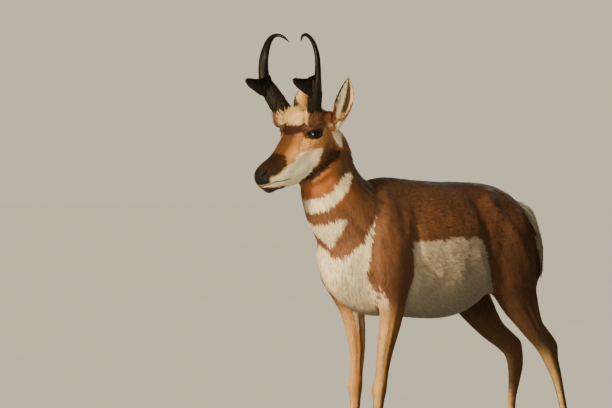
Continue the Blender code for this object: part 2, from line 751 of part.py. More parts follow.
def eye_socket(sign):
    """The hollow that holds an eyeball, with the almond opening between the lids."""
    eye = mirrored(EYE_PLACE, sign)
    out = mirrored(EYE_FACES, sign).normalized()
    back = Vector((0.0, 0.88, -0.47))
    back = (back - back.dot(out) * out).normalized()
    up = out.cross(back) * sign
    rings = []
    for reach, share in ((0.006, 0.82), (0.016, 0.94), (0.036, 1.25)):
        ring = []
        for k in range(14):
            angle = 2 * math.pi * k / 14
            along = EYE_HALF_LENGTH * share * math.cos(angle)
            rise = EYE_HALF_HEIGHT * share * math.sin(angle) * (1.0 - 0.35 * math.cos(angle) ** 2)
            ring.append(HEAD_FRAME @ (eye + out * reach + back * along + up * rise))
        rings.append(ring)
    opening = loft("opening", rings)
    radius = EYE_RADIUS + GAP * 1.1
    return boolean(opening, [ball("hollow", eye, (radius, radius, radius), HEAD_FRAME)], "UNION")


def mouth_groove(head):
    """The thin wedge that draws the line between the lips."""
    tree = BVHTree.FromObject(head, bpy.context.evaluated_depsgraph_get())
    rays = []
    for fore, rise in MOUTH_SIDE:
        rays.append((Vector((0.0, -fore, rise)), Vector((1.0, 0.0, 0.0))))
    fore, rise = MOUTH_FRONT
    for k in range(1, 12):
        angle = math.pi * k / 12
        rays.append((Vector((0.0, -fore, rise)), Vector((math.cos(angle), -math.sin(angle), 0.0))))
    for fore, rise in reversed(MOUTH_SIDE):
        rays.append((Vector((0.0, -fore, rise)), Vector((-1.0, 0.0, 0.0))))
    turn = HEAD_FRAME.to_3x3()
    up = turn @ Vector((0.0, 0.0, 1.0))
    rings = []
    for start, way in rays:
        way = turn @ way
        hit = tree.ray_cast(HEAD_FRAME @ start, way)[0]
        rings.append([
            hit + way * 0.003 + up * MOUTH_HALF_GAP * 1.7,
            hit - way * MOUTH_DEPTH,
            hit + way * 0.003 - up * MOUTH_HALF_GAP * 1.7,
        ])
    return loft("mouth", rings)


def nostril(sign):
    """The comma-shaped hollow of one nostril."""
    return limb("nostril", NOSTRIL, 8, 2, sign, Vector((1.0, -0.6, 0.2)), HEAD_FRAME)


def ear(side, sign):
    """One ear, an open cup."""
    foot, tip, bow_out, opens = EARS[side]
    foot, tip, opens = (mirrored(v, sign) for v in (foot, tip, opens))
    axis = (tip - foot).normalized()
    opens = (opens - opens.dot(axis) * axis).normalized()
    across = axis.cross(opens)
    rings = []
    for share, radius, wrap, thick in EAR_CUP:
        bow = Vector((sign * bow_out * 4 * share * (1 - share), 0.0, 0.0))
        centre = foot + (tip - foot) * share + bow + opens * (radius - 0.010 * share * share)
        angles = np.radians(np.linspace(-wrap, wrap, 8))
        ring = []
        for turn in angles:
            ring.append(centre + (across * math.sin(turn) - opens * math.cos(turn)) * radius)
        for turn in angles[::-1]:
            inner = across * math.sin(turn) - opens * math.cos(turn)
            ring.append(centre + inner * (radius - thick))
        rings.append([FACING @ p for p in ring])
    return loft("ear", rings)


def horn(name, sign):
    """One horn: the hooked beam with its forward prong."""
    def rows(table):
        return [(HORN_FOOT.x + out, HORN_FOOT.y - fore, HORN_FOOT.z + up, a, b)
                for out, fore, up, a, b in table]

    length = Vector((math.sin(HORN_TOE_OUT), -math.cos(HORN_TOE_OUT), 0.0))
    beam = limb(name, rows(HORN_BEAM), 10, 2, sign, length, FACING)
    prong = limb("prong", rows(HORN_PRONG), 8, 1, sign, Vector((0.0, 0.0, 1.0)), FACING)
    return keep_largest(boolean(beam, [prong], "UNION"))


def claw(name, foot, inside):
    """One claw of a hoof, flat below, under the foot's middle line."""
    rings = []
    for share, heel, toe, outer in CLAW:
        height = share * (HOOF_TOP - GAP)
        outside, inner = [], []
        for u in CLAW_OUTLINE:
            along = foot.y + heel + (toe - heel) * u
            side = (u - CLAW_WIDEST) / ((1.0 - CLAW_WIDEST) if u > CLAW_WIDEST else 0.5)
            swell = max(1.0 - side * side, 0.0) ** 0.8
            near = CLAW_INNER + 0.004 * max(u - 0.7, 0.0)
            outside.append(Vector((foot.x + inside * (near + (outer - near) * swell), along, height)))
            inner.append(Vector((foot.x + inside * near, along, height)))
        rings.append([outside[0]] + outside[1:-1] + [inner[-1]] + inner[-2:0:-1])
    return loft(name, rings)


def centre_over_origin():
    """Moves all the meshes so that the middle of their box is over the origin."""
    parts = [o for o in bpy.data.objects if o.type == "MESH"]
    points = np.concatenate([vertex_array(o) for o in parts])
    low, high = points.min(axis=0), points.max(axis=0)
    shift = Matrix.Translation((-(low[0] + high[0]) / 2, -(low[1] + high[1]) / 2, 0.0))
    for part in parts:
        part.data.transform(shift)


def name_bodies(body):
    """The torso, the neck and the legs as objects of their own, from the one body."""
    for faces in loose_bodies(body):
        made = extract("piece", body, faces)
        middle = sum((v.co for v in made.data.vertices), Vector()) / len(made.data.vertices)
        side = "left" if middle.x > 0 else "right"
        if len(faces) > 0.3 * len(body.data.polygons):
            made.name = "torso"
        elif middle.z > 0.75:
            made.name = "neck"
        else:
            made.name = "leg_" + ("fore_" if middle.y < 0.1 else "hind_") + side
    remove([body])


def build():
    """All the parts."""
    point, normal = head_cut()
    body = fuse("body", body_pieces(), BODY_VOXEL, 0.030, BODY_TRIANGLES)
    cut_away(body, point + normal * GAP / 2, -normal)
    cut_away(body, Vector((0.0, 0.0, HOOF_TOP)), Vector((0.0, 0.0, -1.0)))
    cuts = [disc("neck_cut", *NECK_CUT)]
    for sign in (1.0, -1.0):
        cuts += [disc("fore_cut", *FORE_CUT, sign), disc("hind_cut", *HIND_CUT, sign)]
    boolean(body, cuts, "DIFFERENCE")
    name_bodies(body)
    torso = bpy.data.objects["torso"]

    head = fuse("head", head_pieces(), HEAD_VOXEL, 0.012, HEAD_TRIANGLES, fine_places())
    cut_away(head, point - normal * GAP / 2, normal)
    tail = fitted(limb("tail", TAIL, 10, 2), torso)
    for side, sign in (("left", 1.0), ("right", -1.0)):
        fitted(horn("horn_" + side, sign), head)
        one = ear(side, sign)
        one.name = "ear_" + side
        fitted(one, head)
        eyeball = (EYE_RADIUS, EYE_RADIUS, EYE_RADIUS)
        ball("eye_" + side, mirrored(EYE_PLACE, sign), eyeball, HEAD_FRAME)
    boolean(head, [eye_socket(1.0), eye_socket(-1.0), mouth_groove(head),
                   nostril(1.0), nostril(-1.0)], "DIFFERENCE")
    keep_largest(head)
    haired(bpy.data.objects["neck"], mane_spots(), MANE_LOCK, 11)
    haired(torso, rump_spots(), RUMP_LOCK, 12)
    haired(head, crown_spots(), CROWN_LOCK, 13)
    haired(tail, tail_spots(), TAIL_LOCK, 14)
    feet = {"fore_left": fore_leg("left"), "fore_right": fore_leg("right"),
            "hind_left": HIND_SHANKS["left"], "hind_right": HIND_SHANKS["right"]}
    for name, rows in feet.items():
        sign = 1.0 if "left" in name else -1.0
        place = rows[-2]
        foot = Vector((sign * place[0], place[1], 0.0))
        claw("hoof_%s_outer" % name, foot, sign)
        claw("hoof_%s_inner" % name, foot, -sign)
    centre_over_origin()
    for part in bpy.data.objects:
        finish(part)


for old in list(bpy.data.objects):
    bpy.data.objects.remove(old)
build()
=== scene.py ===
"""Dressed model of a life-size standing pronghorn buck: skin, coat, horns, eyes and hooves.

The animal faces -Y and its left side is +X. Every place is given in the frame that its tables
were drawn in, and moved by one shift into the frame of the solids before the mesh is kept.
"""

import logging
import math
from dataclasses import dataclass, field
from enum import Enum

import bmesh
import bpy
import numpy as np
from mathutils import Matrix, Vector
from mathutils.bvhtree import BVHTree

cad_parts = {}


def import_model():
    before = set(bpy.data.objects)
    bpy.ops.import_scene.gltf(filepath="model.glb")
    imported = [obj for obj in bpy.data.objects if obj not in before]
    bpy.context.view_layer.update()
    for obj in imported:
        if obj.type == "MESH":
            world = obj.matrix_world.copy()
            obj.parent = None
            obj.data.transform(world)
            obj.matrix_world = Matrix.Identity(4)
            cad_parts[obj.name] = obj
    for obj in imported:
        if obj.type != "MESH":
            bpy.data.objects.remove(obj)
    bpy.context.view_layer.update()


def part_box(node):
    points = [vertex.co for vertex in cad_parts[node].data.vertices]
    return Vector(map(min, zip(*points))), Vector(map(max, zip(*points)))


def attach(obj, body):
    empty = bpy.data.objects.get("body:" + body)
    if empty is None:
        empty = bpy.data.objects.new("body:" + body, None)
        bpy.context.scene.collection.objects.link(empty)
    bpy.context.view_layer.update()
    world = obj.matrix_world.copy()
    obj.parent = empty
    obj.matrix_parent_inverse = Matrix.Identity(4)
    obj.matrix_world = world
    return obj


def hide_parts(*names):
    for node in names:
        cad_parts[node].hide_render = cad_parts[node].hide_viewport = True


LOG = logging.getLogger("pronghorn")
Array = np.ndarray
Body = bpy.types.Object
Socket = bpy.types.NodeSocket

HEAD_PLACE = Vector((0.0, -0.478, 0.998))
HEAD_PITCH = math.radians(25.0)
HEAD_TURN = math.radians(-2.0)
EYE_PLACE = Vector((0.0430, 0.003, 0.002))
EYE_FACES = Vector((0.92, -0.38, 0.05))
EYE_RADIUS = 0.0245
EYE_HALF_LENGTH = 0.0222
EYE_HALF_HEIGHT = 0.0116
LID_THICKNESS = 0.0034
HORN_FOOT = Vector((0.056, -0.004, 0.050))
HOOF_TOP = 0.040
FACING = Matrix.Translation(HEAD_PLACE) @ Matrix.Rotation(HEAD_TURN, 4, "Z")
HEAD_FRAME = FACING @ Matrix.Rotation(HEAD_PITCH, 4, "X")


class Side(Enum):
    """The two sides of the animal, with the sign of X on each."""

    LEFT = 1.0
    RIGHT = -1.0


def metres(rows: list, scale: int = 1000, plain: int = 0) -> list:
    """The rows of a table in metres.

    Args:
        rows: The table, in millimetres unless the scale says otherwise.
        scale: How many of its units make a metre.
        plain: How many numbers at the end of a row are no lengths.

    Returns:
        The rows, with their lengths in metres.
    """
    count = len(rows[0]) - plain
    return [(*(length / scale for length in row[:count]), *row[count:]) for row in rows]


def ridges(rows: list) -> list:
    """Lines with a reach and a height, all in millimetres, turned into metres."""
    return [(metres(line), reach / 1000, height / 1000) for line, reach, height in rows]


# Torso sections: place along Y, top, bottom, half-width, height of the widest place,
# squareness of the upper and of the lower half
TORSO = metres([
    (-372, 672, 605, 26, 650, 2.0, 1.9), (-352, 738, 565, 64, 662, 2.0, 1.5),
    (-305, 815, 530, 90, 675, 2.0, 1.5), (-230, 868, 503, 109, 660, 1.8, 1.9),
    (-140, 880, 495, 118, 655, 1.7, 2.2), (-40, 872, 489, 130, 665, 1.9, 2.2),
    (60, 866, 483, 137, 660, 2.0, 2.2), (150, 864, 497, 132, 670, 2.0, 2.1),
    (230, 861, 540, 122, 700, 2.1, 2.0), (300, 849, 580, 112, 715, 2.1, 2.0),
    (360, 822, 610, 98, 710, 2.0, 2.0), (405, 780, 635, 75, 705, 2.0, 2.0),
    (428, 742, 660, 40, 700, 2.0, 2.0),
], plain=2)

# Limb stations: x, y, z, half-depth fore and aft, half-width
NECK = metres([
    (0, -165, 680, 160, 100), (0, -235, 725, 138, 97), (0, -300, 772, 112, 88),
    (0, -347, 822, 100, 75), (0, -374, 875, 89, 65), (0, -389, 928, 84, 58),
    (0, -405, 972, 74, 54), (0, -420, 1003, 45, 40),
])
FORE_LEG = metres([
    (44, -150, 835, 45, 18), (70, -170, 780, 70, 30), (88, -202, 705, 86, 36),
    (95, -222, 635, 80, 36), (93, -207, 575, 59, 33), (88, -197, 525, 44, 29),
    (83, -196, 470, 34, 25), (78, -203, 400, 25, 20.5), (74, -210, 340, 19.5, 17.5),
    (72, -216, 300, 20.5, 19.5), (70, -219, 262, 15.5, 16), (68, -224, 180, 12.5, 13.5),
    (66, -228, 118, 14, 14.5), (65, -230, 94, 18.5, 18), (64, -243, 64, 15.5, 17),
    (63, -253, 40, 21.5, 21), (63, -260, 15, 24, 22),
])
# How far each fore foot is set back, growing from the elbow down to the knee
FORE_SWING = {Side.LEFT: -0.024, Side.RIGHT: 0.034}
SWING_TOP = 0.62
SWING_FULL = 0.40

THIGH = metres([
    (55, 240, 790, 80, 40), (75, 265, 730, 125, 50), (86, 283, 660, 133, 48),
    (91, 300, 592, 110, 42),
])
HIND_SHANKS = {
    Side.LEFT: metres([
        (90, 320, 540, 74, 35), (87, 352, 495, 53, 30), (83, 390, 450, 38, 25),
        (79, 430, 412, 30, 20), (76, 463, 382, 30, 19), (74, 482, 350, 26, 18),
        (72, 505, 305, 16.5, 15), (70, 530, 240, 12.5, 12.5), (68, 555, 165, 12, 13),
        (67, 569, 118, 14.5, 15), (67, 574, 94, 18.5, 18), (66, 565, 64, 15.5, 17),
        (66, 557, 40, 21.5, 21), (66, 551, 15, 24, 22),
    ]),
    Side.RIGHT: metres([
        (90, 320, 540, 76, 35), (86, 357, 492, 58, 30), (82, 402, 446, 44, 25),
        (78, 445, 412, 35, 20), (75, 483, 384, 37, 19), (73, 493, 350, 33, 18),
        (71, 487, 300, 21, 15.5), (69, 474, 240, 13, 12.5), (67, 467, 165, 12, 13),
        (66, 462, 118, 14.5, 15), (66, 460, 94, 18.5, 18), (66, 447, 64, 15.5, 17),
        (65, 437, 40, 21.5, 21), (65, 430, 15, 24, 22),
    ]),
}
# The heel tendon behind the shank's own line: distance behind it, half-depth, half-width
TENDON = metres([(30, 13, 9), (38, 12, 10), (26, 18, 13)])

TAIL = metres([
    (0, 395, 790, 26, 24), (0, 428, 772, 18, 21), (0, 448, 742, 13, 19), (0, 455, 705, 11, 16),
    (0, 457, 676, 6, 10),
])

# Head sections: distance forward of the eyes, top, bottom, half-width, widest height,
# squareness of the upper and of the lower half
SKULL = metres([
    (-108, 10, -30, 22, -10, 2.0, 2.0), (-88, 34, -62, 44, -12, 2.0, 2.0),
    (-55, 47, -88, 54, -12, 2.1, 1.9), (-20, 48, -104, 57, -8, 2.2, 1.6),
    (15, 38, -117, 53, -12, 2.2, 1.45), (50, 18, -119, 45, -24, 2.1, 1.45),
    (90, 0, -112, 37, -34, 2.0, 1.6), (122, -7, -104, 32.5, -42, 2.0, 1.8),
    (150, -9, -97, 31, -46, 2.1, 2.0), (172, -13, -90, 30, -47, 2.2, 2.2),
    (187, -21, -79, 26, -47, 2.2, 2.2), (195, -30, -67, 18.5, -47, 2.1, 2.1),
    (199, -39, -55, 7, -47, 2.0, 2.0),
], plain=2)
# Swellings on either side of the head, as place and radii
SWELLINGS = [
    (Vector((0.044, 0.016, 0.024)), (0.026, 0.032, 0.027)),
    (Vector((0.034, 0.014, -0.052)), (0.021, 0.050, 0.036)),
    (Vector((0.046, 0.074, 0.009)), (0.021, 0.024, 0.026)),
    (Vector((0.0155, -0.176, -0.032)), (0.0125, 0.015, 0.012)),
    (Vector((0.013, -0.171, -0.061)), (0.0145, 0.018, 0.010)),
]

# Horn beam, outward, forward and up from its foot, then half-length and half-thickness
HORN_BEAM = metres([
    (-40, -40, -260, 250, 170), (20, 30, 60, 262, 170), (120, 120, 280, 258, 165),
    (250, 205, 520, 250, 155), (380, 290, 790, 215, 130), (470, 340, 1040, 163, 100),
    (490, 355, 1350, 143, 84), (450, 350, 1650, 128, 75), (320, 350, 1960, 102, 68),
    (150, 345, 2135, 84, 62), (-40, 320, 2185, 68, 54), (-215, 260, 2125, 48, 42),
    (-360, 165, 1970, 12, 12),
], scale=10000)
HORN_TOE_OUT = math.radians(38.0)
HORN_LENGTHWISE = Vector((math.sin(HORN_TOE_OUT), -math.cos(HORN_TOE_OUT), 0.0))
# Prong, the same way, then half-height and half-thickness
HORN_PRONG = metres([
    (340, 220, 810, 330, 95), (340, 400, 790, 305, 90), (340, 600, 795, 240, 82),
    (340, 780, 835, 185, 72), (345, 960, 890, 142, 62), (350, 1090, 940, 98, 50),
    (350, 1170, 965, 42, 27),
], scale=10000)

# Ear stations: share of its length, radius of the cup, how far it wraps, thickness
EAR_CUP = [
    (-0.10, 0.0135, 165.0, 0.0042),
    (0.08, 0.0150, 158.0, 0.0040),
    (0.22, 0.0190, 128.0, 0.0036),
    (0.38, 0.0224, 106.0, 0.0032),
    (0.54, 0.0232, 92.0, 0.0030),
    (0.70, 0.0206, 83.0, 0.0027),
    (0.84, 0.0150, 76.0, 0.0024),
    (0.94, 0.0080, 72.0, 0.0019),
    (1.00, 0.0026, 68.0, 0.0010),
]
# Ears: foot, tip, how far they bow outward, and where they open to
EARS = {
    Side.LEFT: (Vector((0.056, 0.078, 0.027)), Vector((0.094, 0.086, 0.150)), 0.013,
                Vector((0.62, -0.78, 0.05))),
    Side.RIGHT: (Vector((0.052, 0.078, 0.024)), Vector((0.084, 0.104, 0.150)), 0.004,
                 Vector((0.95, 0.10, 0.05))),
}

# Claw stations: height as a share of the hoof, then heel, toe and outer side from its middle
CLAW = [
    (0.0, 0.026, -0.047, 0.0245),
    (0.25, 0.0255, -0.040, 0.0242),
    (0.60, 0.0240, -0.031, 0.0232),
    (1.0, 0.0215, -0.0225, 0.0216),
]
# The nostril's line on the muzzle: x, y and z, then its half-depth and half-width
NOSTRIL = metres([
    (125, -1925, -355, 20, 16), (145, -1885, -330, 46, 30), (190, -1810, -290, 48, 34),
    (245, -1730, -260, 34, 24), (275, -1670, -250, 16, 12),
], scale=10000)
# The mouth line, forward of the eyes and up, from its corner to the front of the lips
MOUTH_SIDE = metres([(1130, -790), (1260, -758), (1400, -720), (1530, -680)], scale=10000)
MOUTH_FRONT = (0.158, -0.0630)
# The cut between the head and the neck, from the throat up to the nape behind the ears
THROAT = Vector((0.0, -0.480, 0.875))
NAPE = Vector((0.0, -0.340, 0.975))


def smooth_rows(rows: list, steps: int) -> Array:
    """The rows of a table, and more between them on a smooth curve through them.

    Args:
        rows: The table.
        steps: How many rows there are from one given row to the next.

    Returns:
        The finer table.
    """
    table = np.array(rows, float)
    last = len(table) - 1
    made = []
    for i in range(last):
        before, start, end, after = table[[max(i - 1, 0), i, i + 1, min(i + 2, last)]]
        for t in np.arange(steps) / steps:
            bend = 2 * before - 5 * start + 4 * end - after
            twist = 3 * start - before - 3 * end + after
            made.append(start + 0.5 * ((end - before) * t + bend * t**2 + twist * t**3))
    made.append(table[-1])
    return np.array(made)


def oval(sides: int, half_width: float, up: float, down: float, square_up: float = 2.0,
         square_down: float = 2.0) -> Array:
    """Points of a section, as (across, upward) pairs: an ellipse, or squarer than one.

    Args:
        sides: How many points.
        half_width: Half its width.
        up: Its reach above the widest place.
        down: Its reach below the widest place.
        square_up: Squareness of the upper half, 2 for an ellipse.
        square_down: Squareness of the lower half.

    Returns:
        The points, one row each.
    """
    angle = np.arange(sides) * 2 * math.pi / sides
    across, rise = np.cos(angle), np.sin(angle)
    power = 2 / np.where(rise > 0, square_up, square_down)
    reach = np.where(rise > 0, up, down)
    return np.stack([
        half_width * np.copysign(np.abs(across) ** power, across),
        reach * np.copysign(np.abs(rise) ** power, rise),
    ], axis=1)


def placed(frame: Matrix, points: Array) -> Array:
    """The points, in an array of any shape, moved by the frame."""
    turn = np.array(frame)
    return (points.reshape(-1, 3) @ turn[:3, :3].T + turn[:3, 3]).reshape(points.shape)


def mirrored(place: Vector, side: Side) -> Vector:
    """The place, or its mirror image on the right of the animal."""
    return Vector((side.value * place.x, place.y, place.z))


def linked(name: str, data: bpy.types.ID) -> Body:
    """A new object in the scene that holds the mesh, the light or the camera."""
    made = bpy.data.objects.new(name, data)
    bpy.context.scene.collection.objects.link(made)
    return made


def object_of(name: str, shell: bmesh.types.BMesh) -> Body:
    """An object that holds the shape, with its faces outward, and frees the shape."""
    mesh = bpy.data.meshes.new(name)
    bmesh.ops.recalc_face_normals(shell, faces=shell.faces)
    if shell.calc_volume(signed=True) < 0:
        bmesh.ops.reverse_faces(shell, faces=shell.faces)
    shell.to_mesh(mesh)
    shell.free()
    return linked(name, mesh)


def tube(name: str, rings: Array) -> Body:
    """A closed body through rings of points: a grid is rolled up, sewn and closed at its ends.

    Args:
        name: The object's name.
        rings: One row of points for each ring.

    Returns:
        The object.
    """
    count, sides = rings.shape[:2]
    shell = bmesh.new()
    bmesh.ops.create_grid(shell, x_segments=sides, y_segments=count - 1, size=1.0)
    for vert in shell.verts:
        side = round((vert.co.x + 1) / 2 * sides) % sides
        ring = round((vert.co.y + 1) / 2 * (count - 1))
        vert.co = rings[ring, side]
    bmesh.ops.remove_doubles(shell, verts=shell.verts, dist=1e-7)
    rims = [e for e in shell.edges if e.is_boundary]
    bmesh.ops.holes_fill(shell, edges=rims, sides=0)
    bmesh.ops.triangulate(shell, faces=[f for f in shell.faces if len(f.verts) > 4])
    return object_of(name, shell)


def sections(name: str, rows: list, sides: int, steps: int, frame: Matrix | None = None,
             forward: float = 1.0) -> Body:
    """A closed body through upright sections, for the torso and the head.

    Args:
        name: The object's name.
        rows: The table of sections.
        sides: Points in a section.
        steps: Sections from one row to the next.
        frame: Where the body stands, if not in the working frame.
        forward: -1 where places count forward of the frame's origin.

    Returns:
        The object.
    """
    rings = []
    for place, top, bottom, half, wide, square_up, square_down in smooth_rows(rows, steps):
        flat = oval(sides, half, top - wide, wide - bottom, square_up, square_down)
        ring = np.stack([flat[:, 0], np.full(sides, place * forward), wide + flat[:, 1]], axis=1)
        rings.append(placed(frame, ring) if frame else ring)
    return tube(name, np.array(rings))


def limb_rings(rows: list, sides: int, steps: int, side: float = 1.0,
               deep: Vector = Vector((0.0, -1.0, 0.0))) -> Array:
    """Oval sections square to a bent line.

    Args:
        rows: x, y and z, then the half-depth along deep and the half-width across it.
        sides: Points in a section.
        steps: Sections from one row to the next.
        side: -1 for the right of the body.
        deep: The way of the half-depth.

    Returns:
        One row of points for each section.
    """
    table = smooth_rows(rows, steps)
    line = table[:, :3] * (side, 1.0, 1.0)
    axis = np.array((side * deep.x, deep.y, deep.z))
    rings = []
    for i, row in enumerate(table):
        along = line[min(i + 1, len(line) - 1)] - line[max(i - 1, 0)]
        along /= np.linalg.norm(along)
        fore = axis - axis.dot(along) * along
        fore /= np.linalg.norm(fore)
        wide = np.cross(along, fore)
        flat = oval(sides, row[3], row[4], row[4])
        rings.append(line[i] + flat[:, :1] * fore + flat[:, 1:] * wide)
    return np.array(rings)


def ball(name: str, centre: Vector, radii: tuple, frame: Matrix = Matrix.Identity(4),
         fineness: int = 3) -> Body:
    """A closed egg shape of three radii, in the frame."""
    shell = bmesh.new()
    bmesh.ops.create_icosphere(shell, subdivisions=fineness, radius=1.0)
    shell.transform(frame @ Matrix.Translation(centre) @ Matrix.Diagonal((*radii, 1.0)))
    return object_of(name, shell)


def applied(target: Body) -> Body:
    """The object with its modifiers made part of its mesh."""
    graph = bpy.context.evaluated_depsgraph_get()
    mesh = bpy.data.meshes.new_from_object(target.evaluated_get(graph))
    target.modifiers.clear()
    target.data = mesh
    return target


def points_of(target: Body) -> Array:
    """The mesh's vertices as rows."""
    points = np.zeros(len(target.data.vertices) * 3, np.float32)
    target.data.vertices.foreach_get("co", points)
    return points.reshape(-1, 3).astype(float)


def normals_of(target: Body) -> Array:
    """The normals at the mesh's vertices as rows."""
    normals = np.zeros(len(target.data.vertices) * 3, np.float32)
    target.data.vertex_normals.foreach_get("vector", normals)
    return normals.reshape(-1, 3).astype(float)


def put_points(target: Body, points: Array) -> None:
    """Moves the mesh's vertices to these places."""
    target.data.vertices.foreach_set("co", points.astype(np.float32).ravel())
    target.data.update()


@dataclass
class Neighbours:
    """The edges of a mesh, to average a value over each vertex's neighbours."""

    one: Array
    two: Array
    count: Array

    @classmethod
    def of(cls, target: Body) -> "Neighbours":
        """The neighbours in the object's mesh."""
        ends = np.zeros(len(target.data.edges) * 2, np.int32)
        target.data.edges.foreach_get("vertices", ends)
        count = np.bincount(ends, minlength=len(target.data.vertices))[:, None]
        return cls(ends[::2], ends[1::2], np.maximum(count, 1))

    def mean(self, values: Array) -> Array:
        """The mean of the values at each vertex's neighbours."""
        total = np.zeros_like(values)
        for k in range(values.shape[1]):
            total[:, k] = np.bincount(self.one, values[self.two, k], len(values))
            total[:, k] += np.bincount(self.two, values[self.one, k], len(values))
        return total / self.count

    def smoothed(self, values: Array, weights: Array | float, passes: int) -> Array:
        """The values, drawn towards those of their neighbours.

        Args:
            values: One row for each vertex.
            weights: How much each gives way, from 0 to 1.
            passes: How many times.

        Returns:
            The smoothed values.
        """
        share = 0.5 * (weights[:, None] if isinstance(weights, np.ndarray) else weights)
        for _ in range(passes):
            values = values + share * (self.mean(values) - values)
        return values


def joined(name: str, pieces: list) -> Body:
    """One object with the meshes of the pieces, which are removed."""
    shell = bmesh.new()
    for piece in pieces:
        shell.from_mesh(piece.data)
        bpy.data.objects.remove(piece)
    mesh = bpy.data.meshes.new(name)
    shell.to_mesh(mesh)
    shell.free()
    return linked(name, mesh)


def remeshed(target: Body, voxel: float) -> Body:
    """The object as one even skin of small quads."""
    step = target.modifiers.new("remesh", "REMESH")
    step.mode = "VOXEL"
    step.voxel_size = voxel
    return applied(target)


def fused(name: str, pieces: list, voxel: float, blend: float) -> Body:
    """Joins closed pieces into one skin, with a soft hollow where they meet.

    Args:
        name: The object's name.
        pieces: The closed pieces, which are removed.
        voxel: Size of the skin's quads.
        blend: How far from a junction the hollow reaches.

    Returns:
        The object.
    """
    trees = [BVHTree.FromObject(p, bpy.context.evaluated_depsgraph_get()) for p in pieces]
    skin = remeshed(joined(name, pieces), voxel)
    points = points_of(skin)
    weights = np.zeros(len(points))
    for i, point in enumerate(points):
        near = sorted((t.find_nearest(point, blend)[3] or blend) for t in trees)
        weights[i] = 1.0 - (near[1] / blend if len(near) > 1 else 1.0)
    around = Neighbours.of(skin)
    points = around.smoothed(points, weights, 34)
    put_points(skin, around.smoothed(points, 0.5, 3))
    return skin


def cut_away(target: Body, point: Vector, normal: Vector) -> None:
    """Takes off what lies on the normal's side of a plane, and closes the cut."""
    shell = bmesh.new()
    shell.from_mesh(target.data)
    geometry = shell.verts[:] + shell.edges[:] + shell.faces[:]
    cut = bmesh.ops.bisect_plane(
        shell, geom=geometry, plane_co=point, plane_no=normal, clear_outer=True, dist=1e-7
    )
    rim = [e for e in cut["geom_cut"] if isinstance(e, bmesh.types.BMEdge)]
    bmesh.ops.holes_fill(shell, edges=rim, sides=0)
    bmesh.ops.triangulate(shell, faces=[f for f in shell.faces if len(f.verts) > 4])
    shell.to_mesh(target.data)
    shell.free()


def boolean(target: Body, other: Body, operation: str,
            solver: str = "MANIFOLD") -> Body:
    """One Boolean of the target with another object, which is then removed.

    Args:
        target: The object that is kept.
        other: The object that it is joined with or cut by.
        operation: UNION or DIFFERENCE.
        solver: MANIFOLD or EXACT.

    Returns:
        The target.
    """
    step = target.modifiers.new("join", "BOOLEAN")
    step.operation = operation
    step.object = other
    step.solver = solver
    applied(target)
    bpy.data.objects.remove(other)
    return target


def sizes(ways: Array) -> Array:
    """The length of each row."""
    return np.linalg.norm(ways, axis=1)


def unit(ways: Array) -> Array:
    """The rows, each made one long."""
    return ways / np.maximum(sizes(ways), 1e-6)[:, None]


def laid(ways: Array, normals: Array) -> Array:
    """The ways, laid flat on a surface that faces along the normals, each one long."""
    return unit(ways - (ways * normals).sum(axis=1)[:, None] * normals)


def rows_of(x: Array | float, y: Array | float, z: Array | float) -> Array:
    """Rows of three from three columns, any of which may be one number for all rows."""
    return np.stack(np.broadcast_arrays(x, y, z), axis=1)


def lengths_along(line: Array) -> Array:
    """How far along a bent line each of its corners lies."""
    return np.concatenate([[0], np.cumsum(sizes(np.diff(line, axis=0)))])


def bell(value: Array, middle: float, width: float) -> Array:
    """1 at the middle, falling softly to 0 a few widths away."""
    return np.exp(-(((value - middle) / width) ** 2))


def ramp(value: Array, low: float, high: float) -> Array:
    """0 below low, 1 above high, and a smooth rise between them."""
    t = np.clip((value - low) / (high - low), 0.0, 1.0)
    return t * t * (3 - 2 * t)


def outline_distance(points: Array, corners: list | Array) -> Array:
    """How far inside a closed outline each flat point lies, negative where it is outside.

    Args:
        points: Flat points, one row each.
        corners: The outline's corners in order.

    Returns:
        One distance for each point.
    """
    corners = np.array(corners)
    best = np.full(len(points), 1e9)
    inside = np.zeros(len(points), bool)
    for a, b in zip(corners, np.roll(corners, -1, axis=0)):
        edge = b - a
        t = np.clip(((points - a) @ edge) / max(edge @ edge, 1e-12), 0.0, 1.0)
        best = np.minimum(best, sizes(points - a - t[:, None] * edge))
        crosses = (a[1] > points[:, 1]) != (b[1] > points[:, 1])
        rise = b[1] - a[1] if abs(b[1] - a[1]) > 1e-12 else 1e-12
        inside ^= crosses & (points[:, 0] < a[0] + (points[:, 1] - a[1]) * edge[0] / rise)
    return np.where(inside, best, -best)


def line_distance(points: Array, line: list | Array) -> tuple[Array, Array]:
    """How far each point is from a bent line, and how far along the line its nearest place is.

    Args:
        points: The points, one row each.
        line: The line's corners.

    Returns:
        The distances, and the lengths along the line.
    """
    line = np.array(line)
    best = np.full(len(points), 1e9)
    along = np.zeros(len(points))
    start = 0.0
    for a, b in zip(line, line[1:]):
        edge = b - a
        size = max(float(np.linalg.norm(edge)), 1e-9)
        t = np.clip(((points - a) @ edge) / size**2, 0.0, 1.0)
        distance = sizes(points - a - t[:, None] * edge)
        nearer = distance < best
        best = np.where(nearer, distance, best)
        along = np.where(nearer, start + t * size, along)
        start += size
    return best, along


def ragged(points: Array, size: float, seed: int) -> Array:
    """A soft random value from about -1 to 1 at each point, for torn edges and mottling.

    Args:
        points: The points, one row each.
        size: About how wide one patch is.
        seed: Which pattern.

    Returns:
        One value for each point.
    """
    chance = np.random.default_rng(seed)
    total = np.zeros(len(points))
    for k in range(9):
        way = chance.normal(size=3)
        way /= np.linalg.norm(way)
        wave = 2 * math.pi / (size * (0.6 + 1.1 * chance.random()))
        bend = np.cos(points @ np.roll(way, 1) * wave * 0.6 + k) * 1.3
        total += np.sin(points @ way * wave + chance.random() * 7 + bend)
    return np.clip(total / 4.2, -1.0, 1.0)


